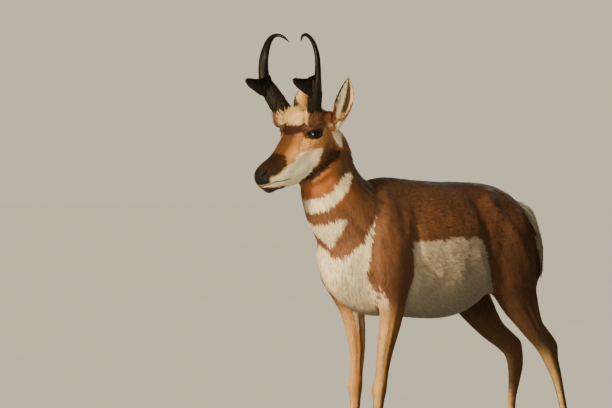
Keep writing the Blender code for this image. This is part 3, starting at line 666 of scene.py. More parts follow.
class Region(Enum):
    """The regions of the body, each with its own bone line, coat and lie of the hair."""

    TORSO = 0
    NECK = 1
    HEAD = 2
    FORE_LEFT = 3
    FORE_RIGHT = 4
    HIND_LEFT = 5
    HIND_RIGHT = 6
    TAIL = 7
    EAR_LEFT = 8
    EAR_RIGHT = 9

    @property
    def side(self) -> Side:
        """The side of the animal that a leg or an ear is on."""
        return Side.RIGHT if self.name.endswith("RIGHT") else Side.LEFT

    @property
    def hind(self) -> bool:
        """Whether it is a hind leg."""
        return self.name.startswith("HIND")


LEGS = (Region.FORE_LEFT, Region.FORE_RIGHT, Region.HIND_LEFT, Region.HIND_RIGHT)
EAR_REGIONS = (Region.EAR_LEFT, Region.EAR_RIGHT)
# The middle of the hairy cuff that the horns rise from, out, forward and up from the horn's foot
HORN_CUFF = [(-0.003, 0.010, -0.022), (-0.001, 0.006, -0.012)]
# Muscles, bones and folds: corners of a line, its reach and how far it stands out, on both sides
RIDGES = ridges([
    ([(60, -205, 835), (92, -228, 800), (100, -250, 722)], 18, 5),
    ([(80, -160, 830), (104, -170, 790), (108, -185, 735)], 20, -4),
    ([(104, -225, 670), (106, -215, 620)], 34, 4.5),
    ([(104, -262, 720), (108, -255, 690), (108, -200, 690)], 12, -3.5),
    ([(108, -130, 740), (116, -132, 690), (118, -136, 630), (108, -140, 560)], 15, -6.5),
    ([(110, -155, 650), (110, -160, 590)], 14, 3.5),
    ([(85, -275, 760), (98, -290, 690), (104, -288, 610)], 12, -6),
    ([(88, -292, 605), (90, -272, 568), (85, -250, 540)], 10, -7),
    ([(66, -318, 590), (72, -296, 555)], 14, 4),
    ([(40, -352, 620), (55, -325, 575), (60, -295, 545)], 9, -3.5),
    ([(100, -195, 560), (95, -160, 530)], 10, -6),
    ([(70, 215, 835), (95, 195, 808)], 22, 5),
    ([(95, 195, 808), (112, 235, 750), (118, 285, 690), (115, 310, 640)], 22, 5),
    ([(98, 135, 800), (118, 150, 740), (120, 150, 690)], 24, -5),
    ([(122, 150, 700), (116, 158, 640), (104, 184, 590), (84, 240, 540)], 15, -6),
    ([(124, 105, 660), (112, 145, 590), (88, 205, 530)], 16, 5),
    ([(100, 350, 740), (108, 352, 680), (104, 352, 620), (90, 365, 550)], 16, -6.5),
    ([(104, 375, 660), (98, 380, 600)], 14, 3),
    ([(130, -5, 668), (134, 15, 640), (130, 38, 612)], 24, 3),
    ([(50, -425, 860), (72, -370, 790), (88, -300, 720)], 15, -4.5),
    ([(40, -330, 930), (60, -300, 850), (80, -220, 790)], 24, 3.5),
    ([(45, -290, 870), (70, -225, 810)], 12, -3),
    ([(118, -125, 640), (124, -95, 632), (128, -60, 615)], 8, -6),
    ([(120, -130, 622), (126, -95, 616), (128, -70, 600)], 9, 4),
])
# The same on the head: sideways, forward of the eyes and up
HEAD_RIDGES = ridges([
    ([(40, 28, 20), (50, 20, 20), (58, 0, 21), (56, -22, 14)], 7, 3.8),
    ([(50, 30, -20), (56, 5, -22), (58, -30, -20)], 8, 3),
    ([(44, 30, 6), (42, 44, -6), (42, 56, -16)], 6, -3),
    ([(36, 70, -36), (44, 40, -34), (48, 15, -32)], 7, 2.6),
    ([(36, 90, -60), (46, 40, -66), (50, 0, -66)], 14, -2.4),
    ([(40, 60, -94), (48, 20, -92), (52, -10, -82)], 11, 3),
    ([(54, -30, -62), (54, -50, -80)], 12, -3),
    ([(52, -50, -100), (50, -14, -98), (44, 14, -105), (28, 40, -116)], 6, -7),
    ([(50, -52, -124), (48, -20, -116), (42, 10, -120), (26, 36, -128)], 8.5, 6),
    ([(50, -50, -146), (46, -20, -138), (38, 10, -140), (18, 34, -146)], 8, -5),
    ([(24, 120, -20), (26, 90, -14), (30, 60, -6)], 8, 1.8),
    ([(33, 115, -56), (36, 85, -56)], 8, 1.8),
    ([(22, 150, -86), (30, 110, -96)], 7, 1.4),
    ([(28, 155, -58), (30, 135, -64)], 5.5, 1.6),
    ([(34, 50, -86), (29, 95, -80), (25, 135, -74)], 16, 4.5),
])
# How much coat stands over the skin, then length, width and count a square metre of its tufts
FORE_COAT = (0.0011, 0.0130, 0.0019, 104000.0)
HIND_COAT = (0.0012, 0.0140, 0.0020, 92000.0)
EAR_COAT = (0.0006, 0.0075, 0.0013, 170000.0)
COAT_TABLE = {
    Region.TORSO: (0.0038, 0.0210, 0.0030, 75000.0),
    Region.NECK: (0.0042, 0.0170, 0.0023, 150000.0),
    Region.HEAD: (0.0011, 0.0080, 0.0013, 215000.0),
    Region.FORE_LEFT: FORE_COAT,
    Region.FORE_RIGHT: FORE_COAT,
    Region.HIND_LEFT: HIND_COAT,
    Region.HIND_RIGHT: HIND_COAT,
    Region.TAIL: (0.0035, 0.0280, 0.0030, 160000.0),
    Region.EAR_LEFT: EAR_COAT,
    Region.EAR_RIGHT: EAR_COAT,
}


def leg_rows(region: Region) -> list:
    """The rows of one leg, with its foot set forward or back."""
    if region.hind:
        return THIGH + HIND_SHANKS[region.side]
    rows = []
    for x, y, z, deep, wide in FORE_LEG:
        share = min(max((SWING_TOP - z) / (SWING_TOP - SWING_FULL), 0.0), 1.0)
        rows.append((x, y + share * FORE_SWING[region.side], z, deep, wide))
    return rows


def heel_tendon(shank: list) -> list:
    """The rows of the tendon that runs down to the point of the hock."""
    rows = [(shank[1][0], shank[1][1] + 0.022, shank[1][2] - 0.010, 0.014, 0.009)]
    for (x, y, z, _, _), (back, deep, wide) in zip(shank[2:5], TENDON):
        rows.append((x, y + back, z + 0.010, deep, wide))
    rows.append((shank[5][0], shank[5][1] + 0.012, shank[5][2] + 0.006, 0.008, 0.009))
    return rows


def bone_lines() -> dict:
    """For each region, its bone line and how thick the body is round it, from its tables."""
    lines = {
        Region.TORSO: np.array([(0.0, place, 0.62 * top + 0.38 * bottom, 0.15)
                                for place, top, bottom, *_ in TORSO[2:-1]]),
        Region.NECK: np.array([(0.0, y, z, 0.8 * deep) for _, y, z, deep, _ in NECK[1:7]]),
        Region.TAIL: np.array([(x, y, z, 0.02) for x, y, z, _, _ in TAIL[1:]]),
    }
    head = placed(HEAD_FRAME, np.array([(0.0, -r[0], r[4] - 0.015) for r in SKULL[1:-1]]))
    lines[Region.HEAD] = np.column_stack([head, [0.062 + r[3] * 0.3 for r in SKULL[1:-1]]])
    for region in LEGS:
        lines[region] = np.array([(region.side.value * x, y, z, 0.6 * deep + 0.4 * wide)
                                  for x, y, z, deep, wide in leg_rows(region) if z < 0.67])
    for region in EAR_REGIONS:
        foot, tip, _, _ = EARS[region.side]
        ends = np.array([mirrored(place, region.side) for place in (foot.lerp(tip, 0.12), tip)])
        lines[region] = np.column_stack([placed(FACING, ends), (0.024, 0.024)])
    return lines


@dataclass
class Ear:
    """One ear: an open cup of even thickness, with a rim, that grows from the head."""

    side: Side
    across: int = 26
    along: int = 44

    def axes(self) -> tuple:
        """Foot, tip, bow, the way it opens and the way across, in the head's upright frame."""
        foot, tip, bow, opens = EARS[self.side]
        foot, tip, opens = (mirrored(v, self.side) for v in (foot, tip, opens))
        axis = (tip - foot).normalized()
        opens = (opens - opens.dot(axis) * axis).normalized()
        return foot, tip, bow, opens, axis.cross(opens)

    def surface(self, share: float, turn: float, inset: float) -> Vector:
        """A place on the cup.

        Args:
            share: How far along the ear, from 0 to 1.
            turn: How far round, from -1 to 1 across its opening.
            inset: How far in from the cup's outer face, as a share of its thickness.

        Returns:
            The place in the working frame.
        """
        foot, tip, bow_out, opens, across = self.axes()
        table = np.array(EAR_CUP)
        radius, wrap, thick = (np.interp(share, table[:, 0], table[:, k]) for k in (1, 2, 3))
        bow = Vector((self.side.value * bow_out * 4 * share * (1 - share), 0.0, 0.0))
        centre = foot + (tip - foot) * share + bow + opens * (radius - 0.010 * share * share)
        angle = math.radians(wrap) * turn
        reach = radius - 0.0004 - thick * inset
        return FACING @ (centre + (across * math.sin(angle) - opens * math.cos(angle)) * reach)

    def around(self, points: Array) -> tuple:
        """Where each place lies on the cup.

        Args:
            points: The places in the working frame.

        Returns:
            How far along the ear, how far out as a share of its radius, and the turn round it.
        """
        foot, tip, bow_out, opens, across = self.axes()
        span = np.array(tip - foot)
        rel = placed(FACING.inverted(), points) - np.array(foot)
        share = rel @ span / (span @ span)
        table = np.array(EAR_CUP)
        radius = np.interp(share, table[:, 0], table[:, 1])
        bow = (4 * share * (1 - share) * self.side.value * bow_out)[:, None] * (1.0, 0.0, 0.0)
        rel = rel - share[:, None] * span - bow
        rel = rel - (radius - 0.010 * share * share)[:, None] * np.array(opens)
        beside = rel @ np.array(across) * self.side.value
        behind = -(rel @ np.array(opens))
        return share, np.hypot(beside, behind) / radius, np.arctan2(beside, behind)

    def build(self) -> Body:
        """The ear as a closed shell: a grid shaped to the cup and thickened inward."""
        rings = []
        for k in range(self.along + 1):
            share = -0.10 + 1.10 * (k / self.along) ** 0.93
            turns = np.linspace(-1, 1, self.across)
            outer = [self.surface(share, t, 0.0) for t in turns]
            inner = [self.surface(share, t * 0.985, 0.80) for t in turns[::-1]]
            rings.append(outer + inner)
        return tube("ear", np.array(rings))


@dataclass
class Flesh:
    """The one skin over head, neck, torso, tail, legs and ears, without its coat."""

    voxel: float = 0.0024
    body_voxel: float = 0.005
    body_blend: float = 0.030
    head_voxel: float = 0.0028
    head_blend: float = 0.012
    overlap: float = 0.010
    triangles: int = 176000
    around: Neighbours | None = None
    lines: dict = field(default_factory=bone_lines)

    def body(self) -> Body:
        """Torso, neck and legs, fused."""
        pieces = [
            sections("torso", TORSO, 40, 4),
            tube("neck", limb_rings(NECK, 28, 5)),
            sections("skull", SKULL, 28, 3, HEAD_FRAME, -1.0),
            ball("rump", Vector((0.0, 0.395, 0.725)), (0.082, 0.045, 0.085)),
        ]
        for region in LEGS:
            rows, sign = leg_rows(region), region.side.value
            pieces.append(tube("leg", limb_rings(rows, 18, 4, sign)))
            if region.hind:
                pieces.append(tube("tendon", limb_rings(heel_tendon(rows[4:]), 12, 3, sign)))
        return fused("body", pieces, self.body_voxel, self.body_blend)

    def head(self) -> Body:
        """The head with the upper neck, fused."""
        pieces = [
            sections("skull", SKULL, 40, 5, HEAD_FRAME, -1.0),
            tube("neck", limb_rings(NECK[2:], 32, 5)),
            ball("chin", Vector((0.0, -0.166, -0.084)), (0.018, 0.020, 0.0125), HEAD_FRAME),
            ball("crown", Vector((0.0, 0.025, 0.030)), (0.040, 0.055, 0.026), HEAD_FRAME),
            ball("poll", Vector((0.0, 0.064, 0.050)), (0.038, 0.032, 0.022), FACING),
            ball("crest", Vector((0.0, 0.004, 0.044)), (0.028, 0.025, 0.024), HEAD_FRAME),
        ]
        orbit = EYE_RADIUS + LID_THICKNESS
        for side in Side:
            pieces.append(ball("orbit", mirrored(EYE_PLACE, side), (orbit,) * 3, HEAD_FRAME))
            for centre, radii in SWELLINGS:
                pieces.append(ball("swelling", mirrored(centre, side), radii, HEAD_FRAME))
        return fused("head", pieces, self.head_voxel, self.head_blend)

    def whole(self) -> Body:
        """Body, head and tail as one fine skin."""
        point = (THROAT + NAPE) / 2
        normal = (NAPE - THROAT).cross(Vector((1.0, 0.0, 0.0))).normalized()
        if normal.z > 0:
            normal.negate()
        body, head = self.body(), self.head()
        cut_away(body, point - normal * self.overlap, -normal)
        cut_away(head, point + normal * self.overlap, normal)
        tail = tube("tail", limb_rings(TAIL, 18, 4))
        skin = remeshed(joined("skin", [body, head, tail]), self.voxel)
        self.around = Neighbours.of(skin)
        put_points(skin, self.around.smoothed(points_of(skin), 1.0, 7))
        return skin

    def depth(self, points: Array) -> Array:
        """How much coat stands over the skin at each place."""
        table = np.array([COAT_TABLE[r][0] for r in Region])
        return self.weights(points) @ table * self.shortening(points)

    def shortening(self, points: Array) -> Array:
        """How far the coat is shorter than its region's, towards the face and the feet."""
        local = head_local(points)
        on_head = 1.0 - ramp(sizes(local), 0.20, 0.24)
        y, z = points[:, 1], points[:, 2]
        upper = ramp(z, 0.80, 0.90) * ramp(-y, 0.26, 0.34)
        face = 1.0 + 0.7 * ramp(-local[:, 1], 0.01, 0.07) * upper
        nose = 1.0 - 0.85 * ramp(local[:, 1], 0.125, 0.185) * on_head
        leg = 1.0 + 1.1 * ramp(z, 0.40, 0.60) * ramp(-z, -0.76, -0.62)
        return face * nose * leg

    def weights(self, points: Array) -> Array:
        """How much each place belongs to each region, one column for each."""
        scores = np.zeros((len(points), len(Region)))
        for region in Region:
            line = self.lines[region]
            distance, along = line_distance(points, line[:, :3])
            thick = np.interp(along, lengths_along(line[:, :3]), line[:, 3])
            scores[:, region.value] = distance / thick
        scores -= scores.min(axis=1)[:, None]
        scores = np.exp(-5.0 * scores)
        return scores / scores.sum(axis=1)[:, None]

    def shaped(self, skin: Body) -> None:
        """Draws the skin in by the coat's depth, and raises the muscles, bones and folds."""
        points, normals = points_of(skin), normals_of(skin)
        depth = self.around.smoothed(self.depth(points)[:, None], 1.0, 20)[:, 0]
        offset = -depth
        for table, where in ((RIDGES, points), (HEAD_RIDGES, head_local(points))):
            for line, reach, height in table:
                for side in Side:
                    corners = np.array(line) * (side.value, 1.0, 1.0)
                    offset += height * bell(line_distance(where, corners)[0], 0.0, reach)
        upright = placed(FACING.inverted(), points)
        for side in Side:
            foot = np.array([mirrored(HORN_FOOT + Vector(c), side)[:] for c in HORN_CUFF])
            offset += 0.0075 * np.exp(-((line_distance(upright, foot)[0] / 0.021) ** 4))
        offset += self.sinews(points)
        lumps = ragged(points, 0.055, 5) * 0.0008 + ragged(points, 0.021, 6) * 0.0003
        offset += lumps * ramp(depth, 0.001, 0.004)
        points = points + normals * offset[:, None]
        put_points(skin, self.around.smoothed(points, 1.0, 2))

    def around_leg(self, region: Region, points: Array) -> tuple:
        """How far outward and forward of a leg's line a place is, as shares of its thickness."""
        line = self.lines[region]
        middle = [np.interp(-points[:, 2], -line[:, 2], line[:, k]) for k in (0, 1, 3)]
        out = (points[:, 0] - middle[0]) * region.side.value / middle[2]
        return out, -(points[:, 1] - middle[1]) / middle[2]

    def sinews(self, points: Array) -> Array:
        """The hollows between bone, muscle and sinew down the legs, and the knobs of the knees."""
        offset = np.zeros(len(points))
        weights, up = self.weights(points), points[:, 2]
        for region in LEGS:
            out, fore = self.around_leg(region, points)
            here = ramp(weights[:, region.value], 0.4, 0.7)
            beside = ramp(np.abs(out), 0.25, 0.7)
            cannon = ramp(-up, -0.29, -0.24) * ramp(up, 0.115, 0.15)
            offset -= here * beside * cannon * 0.0034 * bell(fore, -0.18, 0.25)
            if region.hind:
                thigh = ramp(-up, -0.54, -0.50) * ramp(up, 0.40, 0.44)
                offset -= here * beside * thigh * 0.0040 * bell(fore, -0.35, 0.20)
                offset -= here * beside * thigh * 0.0025 * bell(fore, 0.35, 0.18)
                continue
            arm = ramp(-up, -0.54, -0.48) * ramp(up, 0.32, 0.38)
            offset -= here * beside * arm * 0.0030 * bell(fore, -0.12, 0.24)
            offset -= here * beside * arm * 0.0018 * bell(fore, 0.55, 0.20)
            knee = bell(up, 0.300, 0.020) * ramp(fore, 0.1, 0.6)
            offset += here * 0.0026 * knee
        return offset

    def socket(self, side: Side) -> Body:
        """The hollow that holds an eyeball, with the almond opening between the lids."""
        eye = mirrored(EYE_PLACE, side)
        stages = ((0.004, 0.80), (0.014, 0.90), (0.022, 0.985), (0.0275, 1.10), (0.036, 1.40))
        rings = [[HEAD_FRAME @ point for point in almond(side, share, reach, 40)]
                 for reach, share in stages]
        opening = tube("opening", np.array(rings))
        hollow = ball("hollow", eye, (EYE_RADIUS + 0.0002,) * 3, HEAD_FRAME, 5)
        return boolean(opening, hollow, "UNION")

    def mouth(self, skin: Body) -> Body:
        """The thin wedge that draws the line between the lips."""
        tree = BVHTree.FromObject(skin, bpy.context.evaluated_depsgraph_get())
        rays = [(f, z, 0.0) for f, z in smooth_rows(MOUTH_SIDE, 5)]
        rays += [(*MOUTH_FRONT, math.pi * k / 32) for k in range(1, 32)]
        rays += [(f, z, math.pi) for f, z in smooth_rows(MOUTH_SIDE, 5)[::-1]]
        turn = HEAD_FRAME.to_3x3()
        up = turn @ Vector((0.0, 0.0, 1.0))
        rings = []
        for fore, rise, angle in rays:
            way = turn @ Vector((math.cos(angle), -math.sin(angle), 0.0))
            hit = tree.ray_cast(HEAD_FRAME @ Vector((0.0, -fore, rise)), way)[0]
            rings.append([hit + way * 0.003 + up * 0.0019, hit + up * 0.0006 - way * 0.0015,
                          hit - way * 0.0042,
                          hit - up * 0.0006 - way * 0.0015, hit + way * 0.003 - up * 0.0019])
        return tube("mouth", np.array(rings))

    def nostril(self, side: Side) -> Body:
        """The comma-shaped hollow of one nostril."""
        rings = limb_rings(NOSTRIL, 18, 5, side.value, Vector((1.0, -0.6, 0.2)))
        return tube("nostril", placed(HEAD_FRAME, rings))

    def build(self) -> Body:
        """The finished skin, with eye sockets, nostrils, mouth and ears."""
        skin = self.whole()
        self.shaped(skin)
        for side in Side:
            boolean(skin, Ear(side).build(), "UNION")
        boolean(skin, self.mouth(skin), "DIFFERENCE")
        for side in Side:
            boolean(skin, self.socket(side), "DIFFERENCE")
            boolean(skin, self.nostril(side), "DIFFERENCE")
        self.thin(skin)
        cut_away(skin, Vector((0.0, 0.0, HOOF_TOP - 0.004)), Vector((0.0, 0.0, -1.0)))
        return skin

    def thin(self, skin: Body) -> None:
        """Fewer triangles, with most of them kept on the head."""
        local = head_local(points_of(skin))
        near = 1.0 - ramp(sizes(local - (0.0, 0.06, 0.0)), 0.10, 0.24)
        fine = 0.12 + 0.88 * near
        group = skin.vertex_groups.new(name="fine")
        for step in range(1, 21):
            chosen = np.nonzero((fine > (step - 1) / 20) & (fine <= step / 20))[0]
            group.add(chosen.tolist(), step / 20, "REPLACE")
        faces = np.zeros(len(skin.data.polygons), np.int32)
        skin.data.polygons.foreach_get("loop_total", faces)
        thinner = skin.modifiers.new("thin", "DECIMATE")
        thinner.ratio = min(1.0, self.triangles / float((faces - 2).sum()))
        thinner.vertex_group = "fine"
        thinner.vertex_group_factor = 0.6
        thinner.invert_vertex_group = True
        applied(skin)
        skin.vertex_groups.clear()


def head_local(points: Array) -> Array:
    """Places as sideways, forward of the eyes and up, in the head's own frame."""
    local = placed(HEAD_FRAME.inverted(), points)
    local[:, 1] *= -1
    return local


def eye_axes(side: Side) -> tuple:
    """The middle of an eye, the way it looks, and the ways back and up along its opening."""
    out = mirrored(EYE_FACES, side).normalized()
    back = Vector((0.0, 0.88, -0.47))
    back = (back - back.dot(out) * out).normalized()
    return mirrored(EYE_PLACE, side), out, back, out.cross(back) * side.value


def almond(side: Side, share: float, reach: float, count: int) -> list:
    """The almond line between the lids.

    Args:
        side: Which eye.
        share: Its size, 1 for the opening itself.
        reach: How far in front of the eye's middle.
        count: How many points.

    Returns:
        The points in the head's frame.
    """
    eye, out, back, up = eye_axes(side)
    points = []
    for k in range(count):
        angle = 2 * math.pi * k / count
        along = EYE_HALF_LENGTH * share * math.cos(angle)
        rise = EYE_HALF_HEIGHT * share * math.sin(angle) * (1.0 - 0.35 * math.cos(angle) ** 2)
        points.append(eye + out * reach + back * along + up * rise)
    return points


def tone(red: int, green: int, blue: int) -> Array:
    """A colour as the eye names it, from 0 to 255 each, as light."""
    value = np.array((red, green, blue)) / 255
    return np.where(value <= 0.04045, value / 12.92, ((value + 0.055) / 1.055) ** 2.4)


class Palette:
    """The colours of the coat."""

    rust, back, nape = tone(119, 84, 61), tone(88, 61, 41), tone(90, 63, 41)
    neck, orange, bridge = tone(132, 84, 48), tone(162, 100, 54), tone(172, 116, 66)
    white, cream, cheek = tone(246, 233, 203), tone(242, 208, 150), tone(214, 164, 102)
    sand, fawn, ash = tone(178, 130, 80), tone(134, 100, 70), tone(112, 98, 82)
    dark, muzzle, black = tone(44, 24, 13), tone(30, 18, 11), tone(24, 18, 15)


# The neck's own line, as height and place along Y, to unroll its sides
NECK_AXIS = np.array([
    (0.600, -0.165), (0.680, -0.165), (0.725, -0.235), (0.772, -0.300),
    (0.822, -0.347), (0.875, -0.374), (0.928, -0.389), (0.972, -0.405),
])
NECK_RADIUS = 0.072
# Outlines of the markings, as places on the left of the animal
CRESCENT = metres([
    (0, -450, 821.5), (31, -441, 824), (47, -426, 834), (56, -415, 845), (60, -404, 859),
    (63, -386, 878), (62, -360, 892), (59, -335, 897), (60, -335, 886), (63, -345, 878),
    (69, -360, 853), (69, -376, 834), (64, -395, 820), (56, -407, 806), (43, -422, 795),
    (27, -432, 790), (0, -437, 787),
])
# The same for markings that aren't alike on both sides
BIB = metres([
    (-69, -368, 772), (-53, -396, 767), (-22, -421, 760), (-6, -420, 752), (18, -419, 753),
    (38, -408, 758), (53, -396, 765), (64, -379, 770), (69, -368, 770), (68, -371, 764),
    (62, -373, 748), (54, -377, 734), (39, -380, 717), (20, -376, 699), (4, -376, 690),
    (-3, -384, 703), (-17, -397, 722), (-45, -380, 738), (-62, -373, 750),
])
BREAST = metres([
    (-78, -329, 690), (-60, -352, 684), (-40, -372, 705), (-27, -370, 699), (-12, -371, 684),
    (0, -372, 676), (22, -371, 661), (43, -364, 650), (60, -352, 662), (78, -329, 690),
    (78, -329, 610), (-78, -329, 610),
])
# Outlines on the side of the body, along Y and up
CHEST = metres([
    (-460, 640), (-376, 640), (-362, 656), (-348, 670), (-329, 692), (-312, 703), (-300, 725),
    (-292, 741), (-280, 763), (-271, 772), (-274, 761), (-279, 733), (-290, 705), (-296, 678),
    (-300, 650), (-295, 622), (-287, 600), (-276, 591), (-252, 557), (-238, 530), (-232, 500),
    (-232, 440), (-460, 440),
])
FLANK = metres([
    (-200, 535), (-193, 540), (-155, 559), (-150, 585), (-146, 605), (-149, 635), (-154, 656),
    (-157, 676), (-150, 700), (-108, 705), (-66, 706), (-29, 704), (0, 711), (17, 715), (57, 708),
    (79, 712), (119, 703), (134, 680), (137, 660), (142, 639), (163, 616), (179, 597), (205, 568),
    (240, 535), (275, 500), (300, 470), (300, 400), (-200, 400),
])
RUMP = metres([
    (520, 835), (420, 830), (372, 818), (350, 806), (342, 788), (346, 754), (368, 724), (365, 690),
    (374, 656), (384, 620), (400, 590), (430, 565), (520, 560),
])
# Outlines on the side of the head, forward of the eyes and up
CHEEK_WHITE = metres([
    (-11, -48), (14, -35), (41, -31), (65, -31), (78, -35), (89, -42), (101, -42), (111, -43),
    (127, -45), (147, -50), (170, -47), (186, -45), (210, -43), (210, -64), (195, -65), (180, -73),
    (149, -86), (126, -92), (143, -95), (140, -125), (85, -140), (67, -110), (48, -107),
    (33, -104), (27, -97), (17, -88), (9, -78), (-1, -64), (-11, -51),
])
CHEEK_DARK = metres([
    (-13, -54), (-28, -45), (-48, -55), (-68, -80), (-65, -92), (-47, -102), (-36, -113),
    (-9, -104), (10, -110), (28, -120), (46, -124), (46, -108), (33, -104), (27, -97), (17, -88),
    (9, -78), (-1, -64),
])
CHEEK_FAWN = metres([
    (-12, -50), (-30, -36), (-52, -48), (-70, -78), (-60, -98), (-20, -96), (4, -88),
])
UNDER_EAR = metres([
    (-60, 4), (-63, -11), (-66, -35), (-68, -57), (-78, -77), (-96, -69), (-112, -54), (-112, -10),
    (-90, 12),
])
MUZZLE = metres([
    (104, -16), (106, -32), (112, -40), (132, -45), (149, -49), (169, -46), (186, -44), (215, -42),
    (215, 40), (112, 40),
])
CHIN = metres([
    (215, -66), (195, -67), (180, -75), (149, -88), (126, -94), (120, -120), (215, -120),
])
EYE_SHADE = metres([
    (30, 2), (22, 13), (13, 20), (2, 19), (-12, 14), (-26, 5), (-32, -5), (-18, -10), (-1, -12),
    (14, -9),
])
LIPS = metres([
    (1115, -795), (1260, -758), (1400, -720), (1530, -680), (1600, -640), (1750, -630),
    (2150, -630),
], scale=10000)
EYE_STRIPE = metres([(-30, 0), (-44, 4), (-48, -7), (-37, -30), (-46, -56)])
JAW_FOLD = metres([(30, -116), (10, -108), (-20, -104), (-45, -118)])
# Outlines seen from above the head, sideways and forward of the eyes
TUFT = metres([
    (-40, -56), (-40, 23), (0, 23), (13, 21), (25, 15), (36, 6), (40, -12), (34, -34), (20, -50),
    (0, -56),
])
BROW = metres([
    (-50, 47), (10, 45), (24, 37), (38, 29), (80, 24), (80, 4), (46, -6), (32, -10), (-50, -10),
])


class Layers:
    """The colour of the coat at many places, laid on mark by mark."""

    def __init__(self, points: Array, weights: Array, ground: Array) -> None:
        """Starts with one colour everywhere, and the patterns that tear and mottle the marks."""
        self.points, self.weights = points, weights
        self.colour = np.tile(ground, (len(points), 1))
        self.torn = ragged(points, 0.016, 21) * 0.0035 + ragged(points, 0.006, 22) * 0.0015
        self.fine = ragged(points, 0.007, 23) * 0.0011
        self.mottle = ragged(points, 0.070, 24) * 0.5 + ragged(points, 0.024, 25) * 0.5

    def lay(self, share: Array, shade: Array) -> None:
        """Lays a shade over a share of the colour at each place."""
        self.colour = self.colour + np.clip(share, 0, 1)[:, None] * (shade - self.colour)


